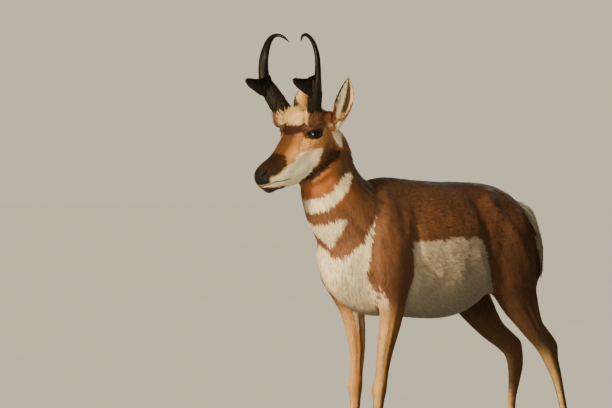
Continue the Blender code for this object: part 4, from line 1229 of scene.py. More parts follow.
@dataclass
class Markings:
    """The coat's markings as rules of place, the same for skin and hair."""

    flesh: Flesh
    palette: Palette = field(default_factory=Palette)

    def unrolled(self, points: Array) -> Array:
        """Places round the neck, unrolled flat from the throat's middle, with their height."""
        axis = np.interp(points[:, 2], NECK_AXIS[:, 0], NECK_AXIS[:, 1])
        turn = np.arctan2(points[:, 0], -(points[:, 1] - axis))
        return np.column_stack([turn * NECK_RADIUS, points[:, 2]])

    def on_neck(self, points: Array, outline: list, both: bool = True) -> Array:
        """How far inside one of the neck's markings each place lies.

        Args:
            points: The places.
            outline: The marking's corners.
            both: Whether it is alike on both sides.

        Returns:
            One distance for each place.
        """
        flat, corners = self.unrolled(points), self.unrolled(np.array(outline))
        if not both:
            return outline_distance(flat, corners)
        flat[:, 0] = np.abs(flat[:, 0])
        ends = np.array([(-0.04, corners[-1, 1]), (-0.04, corners[0, 1])])
        return outline_distance(flat, np.concatenate([corners, ends]))

    def colours(self, points: Array, normals: Array) -> Array:
        """The colour of the coat at each place.

        Args:
            points: The places, one row each, in the working frame.
            normals: The way the skin faces there.

        Returns:
            One colour for each place.
        """
        p = self.palette
        weights = self.flesh.weights(points)
        x, y, z = points.T
        wide = np.abs(x)
        layers = Layers(points, weights, p.rust)
        paint, rag, mottle = layers.lay, layers.torn, layers.mottle
        # The back painted darker towards the top, partly its own darker hair and partly painted
        # shade, and the mottling of the rust
        paint(ramp(z + 0.012 * mottle, 0.745, 0.870), p.back)
        paint(0.25 * ramp(mottle, 0.0, 0.9), p.back)
        paint(0.14 * ramp(-mottle, 0.1, 0.9), p.orange)
        # The neck, redder in front and darker at the nape and down its sides: the nape's own dark
        # hair, widened down the sides as a painted shadow of the head
        neck = weights[:, Region.NECK.value]
        round_neck = np.abs(self.unrolled(points)[:, 0])
        paint(ramp(neck, 0.3, 0.8) * ramp(-round_neck, -0.17, -0.10), p.neck)
        paint(ramp(neck, 0.3, 0.8) * ramp(-round_neck, -0.085, -0.040), p.orange)
        # Painted shadow of the head down the neck's sides, over the dark nape
        paint(ramp(round_neck + 0.01 * mottle, 0.070, 0.105) * ramp(z, 0.82, 0.90) * 0.9, p.nape)
        self.legs(layers)
        # The white of the belly, the chest, the flank and the rump
        body = (weights[:, Region.HEAD.value] < 0.5).astype(float)
        on_leg = weights[:, Region.FORE_LEFT.value:Region.HIND_RIGHT.value + 1].sum(axis=1)
        side = np.column_stack([y, z])
        under = ramp(-normals[:, 2], 0.35, 0.70) * ramp(y, -0.33, -0.28) * ramp(-y, -0.34, -0.28)
        paint(under * ramp(-z, -0.62, -0.56) * (1 - ramp(on_leg, 0.4, 0.7)), p.white)
        inner = ramp(-on_leg * ramp(wide, 0.06, 0.085), -0.6, -0.3)
        chest = ramp(outline_distance(side, CHEST) + rag, -0.002, 0.003)
        paint(body * chest * ramp(z, 0.505, 0.560), p.white)
        # The flank's white is painted greyer and cooler than the other white, as painted shade on
        # the flank
        flank = ramp(outline_distance(side, FLANK) + rag * 1.4, -0.003, 0.004)
        paint(body * inner * flank * ramp(z, 0.44, 0.53), p.white * (0.80, 0.80, 0.82))
        rump = ramp(outline_distance(side, RUMP) + rag * 1.6, -0.003, 0.004)
        paint(rump * (1 - ramp(-wide, -0.016, -0.008) * ramp(z, 0.735, 0.76)), p.white)
        # The white marks of the throat and the breast
        ahead = ramp(-y, 0.30, 0.33)
        for outline, both in ((CRESCENT, True), (BIB, False), (BREAST, False)):
            marking = self.on_neck(points, outline, both) + rag * 0.8
            paint(body * ahead * ramp(marking, -0.002, 0.003), p.white)
        self.face(layers)
        self.ears(layers)
        grain = ragged(points, 0.0065, 27)
        return np.clip(layers.colour * (1 + 0.05 * mottle + 0.11 * grain)[:, None], 0.002, 0.9)

    def legs(self, layers: Layers) -> None:
        """Paints the legs: sandy outside, paler before and within, darker fawn behind as painted
        shade, brown above.
        """
        p, paint, points, weights = self.palette, layers.lay, layers.points, layers.weights
        for region in LEGS:
            hind = region.hind
            out, fore = self.flesh.around_leg(region, points)
            here = ramp(weights[:, region.value], 0.35, 0.6)
            low = ramp(-points[:, 2], -0.56, -0.46)
            paint(here * low, p.fawn if hind else p.sand)
            # Painted shade: the back of each leg is painted darker fawn
            paint(here * low * 0.8 * ramp(-fore, -0.05, 0.6), p.fawn)
            lower = ramp(-points[:, 2], -0.42, -0.34) if hind else low
            paint(here * lower * ramp(fore, 0.20, 0.85) * (0.9 if hind else 0.75),
                  p.cream * (0.95 if hind else 0.80))
            inside = p.fawn * 1.25 if hind else p.sand * 1.2
            paint(here * ramp(-points[:, 2], -0.58, -0.46) * ramp(-out, -0.10, 0.60), inside)
            paint(here * ramp(-points[:, 2], -0.075, -0.050) * 0.6, p.back)

    def face(self, layers: Layers) -> None:
        """Paints the head."""
        p, paint, points, weights = self.palette, layers.lay, layers.points, layers.weights
        rag, fine, mottle = layers.torn, layers.fine, layers.mottle
        local = head_local(points)
        wide, fore, up = np.abs(local[:, 0]), local[:, 1], local[:, 2]
        head = ramp(weights[:, Region.HEAD.value], 0.35, 0.6)
        side = np.column_stack([fore, up])

        def inside(outline: list, soft: float = 0.0015, torn: Array = fine) -> Array:
            """Which places lie inside an outline on the side of the head."""
            return ramp(outline_distance(side, outline) + torn, -soft, soft)

        # The bridge of the nose, dark between pale sides
        paint(head, p.bridge)
        paint(head * ramp(-fore, -0.005, 0.03), p.neck)
        paint(head * ramp(wide, 0.020, 0.038) * ramp(fore, 0.0, 0.04) * ramp(-up, -0.004, 0.020),
              p.cheek)
        bridge = ramp(-wide, -0.036, -0.016) * ramp(fore, 0.010, 0.035)
        paint(head * bridge * (0.90 + 0.10 * mottle), p.neck * 0.36)
        paint(head * ramp(-up, 0.096, 0.108) * ramp(-fore, -0.05, 0.0), p.orange)
        # The white cheek, painted lighter than the other white as painted light, and the fawn and
        # the dark behind and below it, with a painted shadow along the fold under the jaw
        # Painted light: the cheek's white is raised above the plain white
        paint(head * inside(CHEEK_WHITE, 0.0022, rag * 0.9), p.white * 1.1)
        jaw = ramp(weights[:, Region.HEAD.value], 0.08, 0.20)
        paint(jaw * inside(CHEEK_FAWN, 0.003, rag * 1.6), p.nape * 0.7)
        warm = ramp(ragged(points, 0.0070, 29), 0.1, 0.9)[:, None]
        shade = p.dark * (0.55, 0.42, 0.35) * (1 - warm) + p.neck * 0.32 * warm
        paint(jaw * inside(CHEEK_DARK, 0.002, rag * 1.4), shade)
        # Painted shadow: a dark line along the fold under the jaw
        fold = line_distance(side, JAW_FOLD)[0]
        paint(jaw * ramp(-fold + fine, -0.006, -0.002), p.dark)
        # White under the ear, and the stripe behind the eye
        paint(head * inside(UNDER_EAR, 0.003, rag), p.white)
        stripe = line_distance(side, EYE_STRIPE)[0]
        paint(head * ramp(-stripe + fine, -0.007, -0.003) * ramp(wide, 0.03, 0.04), p.nape)
        # The dark brow, and the fur round the eye
        brow = outline_distance(np.column_stack([wide, fore]), BROW)
        low = ramp(up - 0.016 * ramp(wide, 0.040, 0.050), -0.012, -0.004)
        paint(head * ramp(brow + fine, -0.003, 0.003) * low, p.dark)
        around = (fore + 0.004) ** 2 + (up + 0.006) ** 2
        paint(head * np.exp(-around / 0.045**2) * ramp(wide, 0.034, 0.044)
              * ramp(-up, -0.008, 0.002) * 0.8, p.cheek * 1.15)
        above = ramp(-fore, -0.022, -0.008) * ramp(up, 0.002, 0.010) * ramp(wide, 0.032, 0.042)
        paint(head * above * ramp(fore, -0.060, -0.040) * 0.85, p.nape * 1.25)
        paint(head * inside(EYE_SHADE, 0.002) * ramp(wide, 0.030, 0.038), p.black)
        speckle = ragged(points, 0.0055, 28)
        flecks = ramp(speckle, 0.1, 0.7) * ramp(wide, 0.026, 0.036)
        flecks = flecks * ramp(-np.abs(fore), -0.075, -0.03)
        paint(head * flecks * ramp(up, -0.060, -0.045) * (1 - inside(CHEEK_WHITE)) * 0.9, p.nape)
        # The pale tuft, then the muzzle, the chin painted dark as a painted shadow under the jaw,
        # the lips' dark line with painted shade in the mouth's groove, the nose and the poll
        tuft = outline_distance(np.column_stack([wide, fore]), TUFT)
        paint(head * ramp(tuft + fine * 1.3, -0.002, 0.002) * ramp(up, -0.008, 0.0), p.cream)
        paint(head * inside(MUZZLE, 0.004, rag) * 0.92, p.muzzle)
        # Painted shadow: the chin is painted dark brown under the jaw
        paint(head * inside(CHIN, 0.002), p.muzzle * 1.5)
        # The dark line of the lips, partly their own dark edge and partly painted shade in the
        # mouth's groove
        lips = line_distance(side, LIPS)[0]
        paint(head * ramp(-lips, -0.0020, -0.0008) * 0.85, p.muzzle)
        paint(head * ramp(fore, 0.172, 0.186) * ramp(up, -0.066, -0.056), p.black * 0.25)
        paint(head * ramp(-fore, 0.035, 0.055) * ramp(up, 0.01, 0.03) * ramp(-wide, -0.05, -0.03),
              p.nape)

    def ears(self, layers: Layers) -> None:
        """Paints the ears: tan outside with a dark rim, pale hair within, its front painted
        lighter than plain white as painted light, and a painted grey shadow in the middle of the
        cup.
        """
        p, paint, mottle = self.palette, layers.lay, layers.mottle
        for region in EAR_REGIONS:
            here = ramp(layers.weights[:, region.value], 0.5, 0.75)
            if not here.any():
                continue
            share, distance, turn = Ear(region.side).around(layers.points)
            table = np.array(EAR_CUP)
            inner = ramp(-distance, -0.97, -0.93)
            ahead = -turn
            paint(here, p.cheek)
            paint(here * 0.85 * ramp(share + 0.04 * mottle, 0.76, 0.98), p.dark)
            paint(here * inner, p.cream * 0.8)
            # Painted light: the pale hair in the ear's front is painted lighter than plain white
            paint(here * inner * ramp(ahead + 0.15 * mottle, -0.05, 0.35), p.white * 1.08)
            shadow = ramp(-ahead, -0.40, 0.05) * ramp(ahead, -0.85, -0.60)
            paint(here * inner * shadow, p.ash * 0.30)
            paint(here * inner * ramp(-ahead, 0.75, 1.05), p.cream)
            wrap = np.interp(share, table[:, 0], np.radians(table[:, 2]))
            edge = ramp(ahead / wrap, 0.88, 0.96) * (share > 0.30)
            paint(here * edge * ramp(share, 0.3, 0.5), p.dark)
            paint(here * inner * ramp(-share, -0.34, -0.16), p.cream)


@dataclass
class Surface:
    """The skin as numbers: its triangles and, at each vertex, the way the hair lies and so on."""

    points: Array
    normals: Array
    triangles: Array
    weights: Array
    lie: Array
    depth: Array
    tree: BVHTree

    @classmethod
    def of(cls, skin: Body, flesh: Flesh) -> "Surface":
        """The numbers of a finished skin."""
        points, normals = points_of(skin), normals_of(skin)
        skin.data.calc_loop_triangles()
        triangles = np.zeros(len(skin.data.loop_triangles) * 3, np.int32)
        skin.data.loop_triangles.foreach_get("vertices", triangles)
        triangles = triangles.reshape(-1, 3)
        weights = flesh.weights(points)
        around = Neighbours.of(skin)
        lie = cls.hair_way(points, weights, flesh)
        for _ in range(3):
            lie = laid(around.smoothed(lie, 1.0, 10), normals)
        depth = around.smoothed(flesh.depth(points)[:, None], 1.0, 12)[:, 0]
        tree = BVHTree.FromPolygons(points.tolist(), triangles.tolist())
        return cls(points, normals, triangles, weights, lie, depth, tree)

    @staticmethod
    def hair_way(points: Array, weights: Array, flesh: Flesh) -> Array:
        """The way the hair lies at each place, before it is evened out.

        Args:
            points: The places.
            weights: How much each belongs to each region.
            flesh: What holds the bone lines.

        Returns:
            One way for each place.
        """
        x, y, z = points.T
        side, ways = np.sign(x), np.zeros((len(Region), len(points), 3))
        torso, neck, head, tail = ways[0], ways[1], ways[2], ways[7]
        front, back = ramp(-y, 0.20, 0.33), ramp(y, 0.30, 0.40)
        torso[:] = rows_of(0.0, 1.0, -0.28 - 0.15 * ramp(-z, -0.74, -0.60))
        torso += front[:, None] * (rows_of(side * 0.12, 0.25, -1.0) - torso)
        torso += back[:, None] * (rows_of(side * 0.55, 0.35, -0.8) - torso)
        neck[:] = rows_of(side * 0.05, 0.42, -0.90)
        local = head_local(points)
        lift = 0.10 * ramp(local[:, 2], -0.03, 0.02) - 0.40 * ramp(-local[:, 2], 0.02, 0.08)
        head[:] = rows_of(side * 0.12, 1.0, lift) @ np.array(HEAD_FRAME.to_3x3()).T
        behind = ramp(-local[:, 1], 0.03, 0.09)[:, None]
        head += behind * (rows_of(side * 0.1, 0.35, -1.0) - head)
        for region in LEGS:
            line = flesh.lines[region]
            drift = np.interp(-z, -line[:, 2], np.gradient(line[:, 1], -line[:, 2]))
            ways[region.value] = rows_of(0.0, drift * 0.8 + 0.12, -1.0)
        tail[:] = rows_of(side * 0.15, 0.1, -1.0)
        for region in EAR_REGIONS:
            line = flesh.lines[region]
            ways[region.value] = np.tile(line[-1, :3] - line[0, :3], (len(points), 1)) * 8
        return np.einsum("nr,rnk->nk", weights, ways)

    def loads(self, density: Array) -> Array:
        """How many tufts each triangle carries, from how many a square metre at each vertex."""
        corners = self.points[self.triangles]
        normals = np.cross(corners[:, 1] - corners[:, 0], corners[:, 2] - corners[:, 0])
        return 0.5 * sizes(normals) * density[self.triangles].mean(axis=1)


@dataclass
class Growth:
    """Roots of tufts with all that shapes them."""

    roots: Array
    outs: Array
    ways: Array
    lengths: Array
    widths: Array
    heights: Array
    regions: Array
    shades: Array

    def chosen(self, picks: Array) -> "Growth":
        """Only some of the tufts."""
        return Growth(*(getattr(self, name)[picks] for name in self.__dataclass_fields__))


# The corners of a tuft's ten triangles: root ring 0 to 2, middle ring 3 to 5, tip 6
TUFT_FACES = np.array([
    (0, 2, 1), (0, 1, 4), (0, 4, 3), (1, 2, 5), (1, 5, 4), (2, 0, 3), (2, 3, 5),
    (3, 4, 6), (4, 5, 6), (5, 3, 6),
])
TUFT_CORNERS = 7
# Where the corners lie on an unwrap of one tuft, and how light each is: the root darker as painted
# shade where the tufts lie over each other, the tip paler as the hair's own banding
TUFT_SPREAD = np.array([(0, 0), (1, 0), (0.5, 0), (0, 0.5), (1, 0.5), (0.5, 0.5), (0.5, 1)])
TUFT_ROOT_SHADE = np.array((0.86, 0.86, 0.90, 0.97, 0.97, 1.0, 1.05))
BAKE_PATCH = 0.003
TUFTS_A_PIECE = 19500


@dataclass
class Coat:
    """The hair over the skin: flat tapered tufts that lie along the body."""

    surface: Surface
    flesh: Flesh
    markings: Markings
    shift: Vector
    finish: bpy.types.Material
    seed: int = 7
    stray: float = 0.085

    def scatter(self, density: Array, seed: int) -> tuple:
        """Even random places on the skin.

        Args:
            density: How many a square metre, for each vertex.
            seed: Which pattern.

        Returns:
            Triangle numbers, and the shares of their three corners.
        """
        chance = np.random.default_rng(seed)
        load = np.cumsum(self.surface.loads(density))
        count = int(load[-1])
        marks = (np.arange(count) + chance.random(count)) * (load[-1] / count)
        faces = np.minimum(np.searchsorted(load, marks), len(load) - 1)
        return faces, chance.dirichlet((1.0, 1.0, 1.0), count)

    def rooted(self, density: Array, seed: int, lie: Array, stray: float,
               chance: np.random.Generator) -> tuple:
        """Roots over the skin, each with its own slightly stray way.

        Args:
            density: How many a square metre, for each vertex.
            seed: Which pattern the places follow.
            lie: The way the hair lies at each vertex.
            stray: How far each tuft strays from it.
            chance: What the strays are drawn from.

        Returns:
            The places, the way the skin faces, the way the hair lies, and what reads a value of
            the skin at each root.
        """
        faces, shares = self.scatter(density, seed)
        corners = self.surface.triangles[faces]

        def here(values: Array) -> Array:
            """A value of the skin at each root."""
            return np.einsum("nk,nk...->n...", shares, values[corners])

        roots, outs, ways = here(self.surface.points), unit(here(self.surface.normals)), here(lie)
        ways += stray * chance.normal(size=ways.shape)
        return roots, outs, laid(ways, outs), here

    def grown(self, density: Array, seed: int) -> Growth:
        """Roots over the whole skin, with the size of the hair at each."""
        surface, chance = self.surface, np.random.default_rng(seed + 1)
        roots, outs, ways, here = self.rooted(density, seed, surface.lie, self.stray, chance)
        weights = here(surface.weights)
        short = self.flesh.shortening(roots)
        table = np.array([COAT_TABLE[r] for r in Region])
        size = 1 + 0.22 * chance.normal(size=len(roots)).clip(-2, 2)
        lengths = (weights @ table[:, 1]) * np.minimum(short, short**0.5) * size
        widths = (weights @ table[:, 2]) * short**0.6 * (1 + 0.15 * chance.normal(size=len(roots)))
        heights = here(surface.depth) * (0.70 + 0.35 * chance.random(len(roots)))
        return Growth(roots, outs, ways, lengths, widths, heights, weights.argmax(axis=1),
                      1 + 0.085 * chance.normal(size=len(roots)))

    def lowered(self, places: Array) -> tuple:
        """The nearest places of the skin, and the way it faces there."""
        found = [self.surface.tree.find_nearest(p)[:2] for p in places]
        return np.array([f[0][:] for f in found]), np.array([f[1][:] for f in found])

    def piece(self, name: str, growth: Growth, curl: float = 0.0) -> Body:
        """One object of tufts.

        Args:
            name: The object's name.
            growth: The tufts.
            curl: How far the tips stand up, as a share of their length.

        Returns:
            The object.
        """
        g = growth
        across = np.cross(g.ways, g.outs)
        half = across * (g.widths / 2)[:, None]
        middle, lean = self.lowered(g.roots + g.ways * (g.lengths * 0.52)[:, None])
        tip, out = self.lowered(g.roots + g.ways * g.lengths[:, None])
        up = g.heights[:, None]
        thick = g.outs * (np.minimum(g.widths * 0.32, g.heights * 0.5))[:, None]
        first = g.roots - g.outs * 0.0010
        second = middle + lean * up * 0.62
        corners = np.stack([
            first - half * 0.7, first + half * 0.7, first + thick * 1.6,
            second - half, second + half, second + thick,
            tip + out * (up + (g.lengths * curl)[:, None]),
        ], axis=1)
        base = self.markings.colours(middle, lean)
        # The tufts' colours, darker at the root as painted shade and paler at the tip
        shades = base[:, None, :] * (TUFT_ROOT_SHADE[None, :] * g.shades[:, None])[:, :, None]
        made = self.meshed(name, corners, shades, self.patches(g))
        round_off = across * 0.28
        ends = np.stack([g.outs - round_off, g.outs + round_off, g.outs,
                         lean - round_off, lean + round_off, lean, out], axis=1).reshape(-1, 3)
        made.data.normals_split_custom_set_from_vertices(unit(ends).tolist())
        return made

    def patches(self, growth: Growth) -> Array:
        """Where each root lies on an unwrap of the skin: along its bone line and round it."""
        flat = np.zeros((len(growth.roots), 2))
        for region in Region:
            here = growth.regions == region.value
            if not here.any():
                continue
            line = self.flesh.lines[region][:, :3]
            points = growth.roots[here]
            along = line_distance(points, line)[1]
            lengths = lengths_along(line)
            middle = np.column_stack([np.interp(along, lengths, line[:, k]) for k in range(3)])
            tangent = line[-1] - line[0]
            tangent /= np.linalg.norm(tangent)
            second = np.cross(tangent, (1.0, 0.0, 0.0))
            turn = np.arctan2(points[:, 0] - middle[:, 0], (points - middle) @ second)
            beyond = (points - middle) @ tangent
            flat[here] = np.column_stack([turn / (2 * math.pi) + 0.5, along + beyond])
        low, high = flat.min(axis=0), flat.max(axis=0)
        return 0.01 + 0.975 * (flat - low) / np.maximum(high - low, 1e-6)

    def meshed(self, name: str, corners: Array, shades: Array, places: Array) -> Body:
        """The mesh of the tufts, with its colours and its unwraps.

        Args:
            name: The object's name.
            corners: Seven corners for each tuft.
            shades: Their colours.
            places: Where each tuft lies on the unwrap.

        Returns:
            The object.
        """
        count, faces = len(corners), TUFT_FACES
        edge = [corners[0, faces[:, k]] - corners[0].mean(axis=0) for k in range(3)]
        if np.einsum("ij,ij->", np.cross(edge[0], edge[1]), edge[2]) < 0:
            faces = faces[:, ::-1]
        ids = (np.arange(count)[:, None, None] * TUFT_CORNERS + faces[None]).reshape(-1)
        mesh = bpy.data.meshes.new(name)
        mesh.vertices.add(count * TUFT_CORNERS)
        placed_corners = corners.reshape(-1, 3) + np.array(self.shift)
        mesh.vertices.foreach_set("co", placed_corners.astype(np.float32).ravel())
        mesh.loops.add(len(ids))
        mesh.loops.foreach_set("vertex_index", ids.astype(np.int32))
        mesh.polygons.add(len(ids) // 3)
        mesh.polygons.foreach_set("loop_start", np.arange(0, len(ids), 3, dtype=np.int32))
        mesh.polygons.foreach_set("use_smooth", np.ones(len(ids) // 3, bool))
        mesh.update(calc_edges=True)
        paint_vertices(mesh, "Colour", np.clip(shades, 0.0, 1.0).reshape(-1, 3))
        bake = (places[:, None, :] + TUFT_SPREAD[None] * BAKE_PATCH).reshape(-1, 2)[ids]
        mesh.uv_layers.new(name="OFBake").data.foreach_set("uv", bake.astype(np.float32).ravel())
        chance = np.random.default_rng(count)
        strand = (TUFT_SPREAD[None] + chance.random((count, 1, 2)) * 40).reshape(-1, 2)[ids]
        mesh.uv_layers.new(name="Strand").data.foreach_set("uv", strand.astype(np.float32).ravel())
        mesh.materials.append(self.finish)
        LOG.info("%s: %d tufts", name, count)
        return linked(name, mesh)

    def density(self) -> Array:
        """How many tufts a square metre, at each vertex of the skin."""
        surface = self.surface
        density = surface.weights @ np.array([COAT_TABLE[r][3] for r in Region])
        local = head_local(surface.points)
        head = surface.weights[:, Region.HEAD.value]
        density *= 1 - 0.9 * head * ramp(local[:, 1], 0.165, 0.185)
        for side in Side:
            eye = np.array(mirrored(Vector((0.064, -0.006, 0.003)), side)) * (1, -1, 1)
            density *= ramp(sizes((local - eye) / (1.0, 1.25, 0.85)), 0.016, 0.022)
            seat = np.array(mirrored(HORN_FOOT, side)) - (0, 0, 0.010)
            upright = placed(FACING.inverted(), surface.points)
            density *= ramp(sizes(upright - seat), 0.020, 0.024)
        mouth = line_distance(local[:, 1:], MOUTH_SIDE + [MOUTH_FRONT])[0]
        density *= 1 - head * ramp(-mouth, -0.004, -0.002)
        return density * ramp(surface.points[:, 2], HOOF_TOP, HOOF_TOP + 0.004)

    def build(self) -> list:
        """All the pieces of the coat."""
        growth = self.grown(self.density(), self.seed)
        groups = {
            "torso": (Region.TORSO,), "neck": (Region.NECK,), "head": (Region.HEAD,),
            "fore_legs": LEGS[:2], "hind_legs": LEGS[2:],
            "tail_and_ears": (Region.TAIL, *EAR_REGIONS),
        }
        pieces = []
        for name, regions in groups.items():
            picks = np.isin(growth.regions, [region.value for region in regions])
            numbers = np.nonzero(picks)[0]
            numbers = numbers[np.argsort(growth.roots[numbers, 1 if name != "head" else 0])]
            parts = max(1, math.ceil(len(numbers) / TUFTS_A_PIECE))
            for k, some in enumerate(np.array_split(numbers, parts)):
                pieces.append(self.piece("coat_%s_%d" % (name, k + 1), growth.chosen(some)))
        return pieces


class Recipe:
    """The nodes of a material or of the world, up to its shader."""

    def __init__(self, owner: bpy.types.ID, shader: str = "Principled BSDF") -> None:
        """Gives the material or the world its nodes."""
        owner.use_nodes = True
        self.owner, self.tree = owner, owner.node_tree
        self.shader = self.tree.nodes[shader]

    def feed(self, node: bpy.types.Node, inputs: dict) -> None:
        """Links the inputs that are given a socket, and sets the others."""
        for name, value in inputs.items():
            if isinstance(value, Socket):
                self.tree.links.new(value, node.inputs[name])
            else:
                node.inputs[name].default_value = value

    def add(self, kind: str, output: str, inputs: dict, **settings: str) -> Socket:
        """A new node.

        Args:
            kind: Its type, without the words in front of it.
            output: The output that is wanted.
            inputs: What its inputs are given.
            settings: Its own settings.

        Returns:
            That output.
        """
        node = self.tree.nodes.new("ShaderNode" + kind)
        for name, value in settings.items():
            setattr(node, name, value)
        self.feed(node, inputs)
        return node.outputs[output]

    def places(self) -> Socket:
        """The Object coordinates."""
        return self.add("TexCoord", "Object", {})

    def painted(self, name: str = "Colour", output: str = "Color") -> Socket:
        """What is kept at the mesh's vertices under this name."""
        return self.add("Attribute", output, {}, attribute_name=name)

    def noise(self, vector: Socket, scale: tuple, detail: float = 4.0) -> Socket:
        """Noise from 0 to 1, its fineness given along each way."""
        where = self.add("Mapping", "Vector", {"Scale": scale, "Vector": vector})
        return self.add("TexNoise", "Fac", {"Scale": 1.0, "Detail": detail, "Vector": where})

    def shades(self, value: Socket, stops: list) -> Socket:
        """A colour for each value: the stops are pairs of value and colour."""
        node = self.tree.nodes.new("ShaderNodeValToRGB")
        elements = node.color_ramp.elements
        while len(elements) < len(stops):
            elements.new(0.5)
        for element, (place, colour) in zip(elements, stops):
            element.position = place
            element.color = (*colour, 1.0)
        self.feed(node, {"Fac": value})
        return node.outputs["Color"]

    def spread(self, value: Socket, low: float, high: float, end: float = 1.0) -> Socket:
        """The value from 0 to the end, turned into one from low to high."""
        inputs = {"From Min": 0.0, "From Max": end, "To Min": low, "To Max": high, "Value": value}
        return self.add("MapRange", "Result", inputs)

    def mixed(self, share: Socket | float, one: Socket, two: Socket, kind: str = "MIX") -> Socket:
        """Two colours mixed in one of the node's ways, with this share of the second."""
        inputs = {"Factor": share, "A": one, "B": two}
        return self.add("Mix", "Result", inputs, data_type="RGBA", blend_type=kind)

    def bumped(self, height: Socket, distance: float, strength: float) -> Socket:
        """The normal of a surface raised by the height, which stands this far where it is 1."""
        inputs = {"Distance": distance, "Strength": strength, "Height": height}
        return self.add("Bump", "Normal", inputs)

    def done(self, inputs: dict) -> bpy.types.ID:
        """The material or the world, once its shader is given these."""
        self.feed(self.shader, inputs)
        return self.owner


def recipe(name: str) -> Recipe:
    """The recipe of a new material."""
    return Recipe(bpy.data.materials.new(name))


@dataclass(frozen=True)
class HairFinish:
    """Hair: the markings' colour, fine streaks along each tuft and a soft sheen."""

    name: str = "hair"
    roughness: float = 0.62
    sheen: float = 0.05

    def make(self) -> bpy.types.Material:
        """The material."""
        r = recipe(self.name)
        streak = r.noise(r.add("UVMap", "UV", {}, uv_map="Strand"), (5.0, 0.7, 1.0), 3.0)
        grey = r.shades(streak, [(0.30, (0.74, 0.72, 0.70)), (0.70, (1.0, 1.0, 1.0))])
        return r.done({
            "Base Color": r.mixed(1.0, r.painted(), grey, "MULTIPLY"),
            "Roughness": r.spread(streak, self.roughness - 0.08, self.roughness + 0.10),
            "Sheen Weight": self.sheen,
            "Sheen Roughness": 0.45,
            "Specular IOR Level": 0.20,
            "Normal": r.bumped(streak, 0.0006, 0.7),
        })


@dataclass(frozen=True)
class SkinFinish:
    """The skin with its shortest hair: the markings' colour, and fine short strokes as bump."""

    name: str = "short_hair"

    def make(self) -> bpy.types.Material:
        """The material."""
        r = recipe(self.name)
        where = r.places()
        strokes = r.noise(where, (900.0, 260.0, 520.0), 5.0)
        patches = r.noise(where, (60.0, 60.0, 60.0), 3.0)
        grey = r.shades(strokes, [(0.25, (0.62, 0.60, 0.58)), (0.70, (1.0, 1.0, 1.0))])
        return r.done({
            "Base Color": r.mixed(1.0, r.painted(), grey, "MULTIPLY"),
            "Roughness": r.spread(patches, 0.55, 0.78),
            "Specular IOR Level": 0.20,
            "Sheen Weight": 0.02,
            "Normal": r.bumped(strokes, 0.0008, 0.8),
        })


@dataclass(frozen=True)
class HornFinish:
    """Horn: near black, with grey-brown bark streaks low down and a smooth polished upper part."""

    name: str = "horn_sheath"

    def make(self) -> bpy.types.Material:
        """The material."""
        r = recipe(self.name)
        rough_share = r.painted("Bark", "Fac")
        bark = r.noise(r.places(), (420.0, 420.0, 46.0), 7.0)
        grain = r.noise(r.places(), (150.0, 150.0, 24.0), 5.0)
        low = r.shades(bark, [(0.30, tone(7, 5, 4)), (0.54, tone(13, 10, 8)),
                              (0.70, tone(52, 42, 33)), (0.88, tone(88, 74, 60))])
        high = r.shades(grain, [(0.30, tone(6, 5, 5)), (0.75, tone(16, 13, 12))])
        return r.done({
            "Base Color": r.mixed(rough_share, high, low),
            "Roughness": r.spread(rough_share, 0.36, 0.78),
            "Specular IOR Level": 0.16,
            "Normal": r.bumped(r.mixed(0.4, bark, grain), 0.0016, 0.8),
        })


@dataclass(frozen=True)
class HoofFinish:
    """Hoof: black-brown horn with growth rings, dusty near the ground."""

    name: str = "hoof_wall"
    dust_height: float = 0.022

    def make(self) -> bpy.types.Material:
        """The material."""
        r = recipe(self.name)
        rings = r.noise(r.places(), (22.0, 22.0, 420.0), 4.0)
        grain = r.noise(r.places(), (380.0, 380.0, 40.0), 4.0)
        height = r.add("SeparateXYZ", "Z", {"Vector": r.places()})
        dust = r.spread(height, 0.45, 0.0, self.dust_height)
        wall = r.shades(rings, [(0.30, tone(26, 22, 20)), (0.70, tone(58, 48, 42))])
        soil = r.shades(grain, [(0.30, tone(70, 58, 46)), (0.70, tone(124, 106, 84))])
        return r.done({
            "Base Color": r.mixed(dust, wall, soil),
            "Roughness": r.spread(grain, 0.38, 0.66),
            "Normal": r.bumped(r.mixed(0.5, rings, grain), 0.0007, 0.7),
        })


@dataclass(frozen=True)
class EyeFinish:
    """Eye: black-brown with a faint iris round a wide pupil, wet and glossy."""

    name: str = "eye"

    def make(self) -> bpy.types.Material:
        """The material."""
        r = recipe(self.name)
        fibres = r.noise(r.places(), (900.0, 900.0, 900.0), 3.0)
        shade = r.shades(fibres, [(0.3, (0.7, 0.7, 0.7)), (0.7, (1.0, 1.0, 1.0))])
        return r.done({
            "Base Color": r.mixed(1.0, r.painted(), shade, "MULTIPLY"),
            "Roughness": 0.08,
            "Specular IOR Level": 0.22,
        })


@dataclass(frozen=True)
class FloorFinish:
    """The plain pale floor."""

    name: str = "floor"

    def make(self) -> bpy.types.Material:
        """The material."""
        r = recipe(self.name)
        cloudy = r.noise(r.places(), (1.2, 1.2, 1.2), 3.0)
        pale = r.shades(cloudy, [(0.3, (0.70, 0.80, 0.90)), (0.7, (0.72, 0.82, 0.92))])
        return r.done({"Base Color": pale, "Roughness": 0.9})


def paint_vertices(mesh: bpy.types.Mesh, name: str, values: Array) -> None:
    """Keeps a colour, or one number, at each vertex of the mesh.

    Args:
        mesh: The mesh.
        name: The attribute's name.
        values: One colour or number for each vertex.
    """
    if values.ndim == 1:
        made = mesh.attributes.new(name, "FLOAT", "POINT")
        made.data.foreach_set("value", values.astype(np.float32))
        return
    made = mesh.color_attributes.new(name, "FLOAT_COLOR", "POINT")
    rgba = np.ones((len(values), 4), np.float32)
    rgba[:, :3] = values
    made.data.foreach_set("color", rgba.ravel())


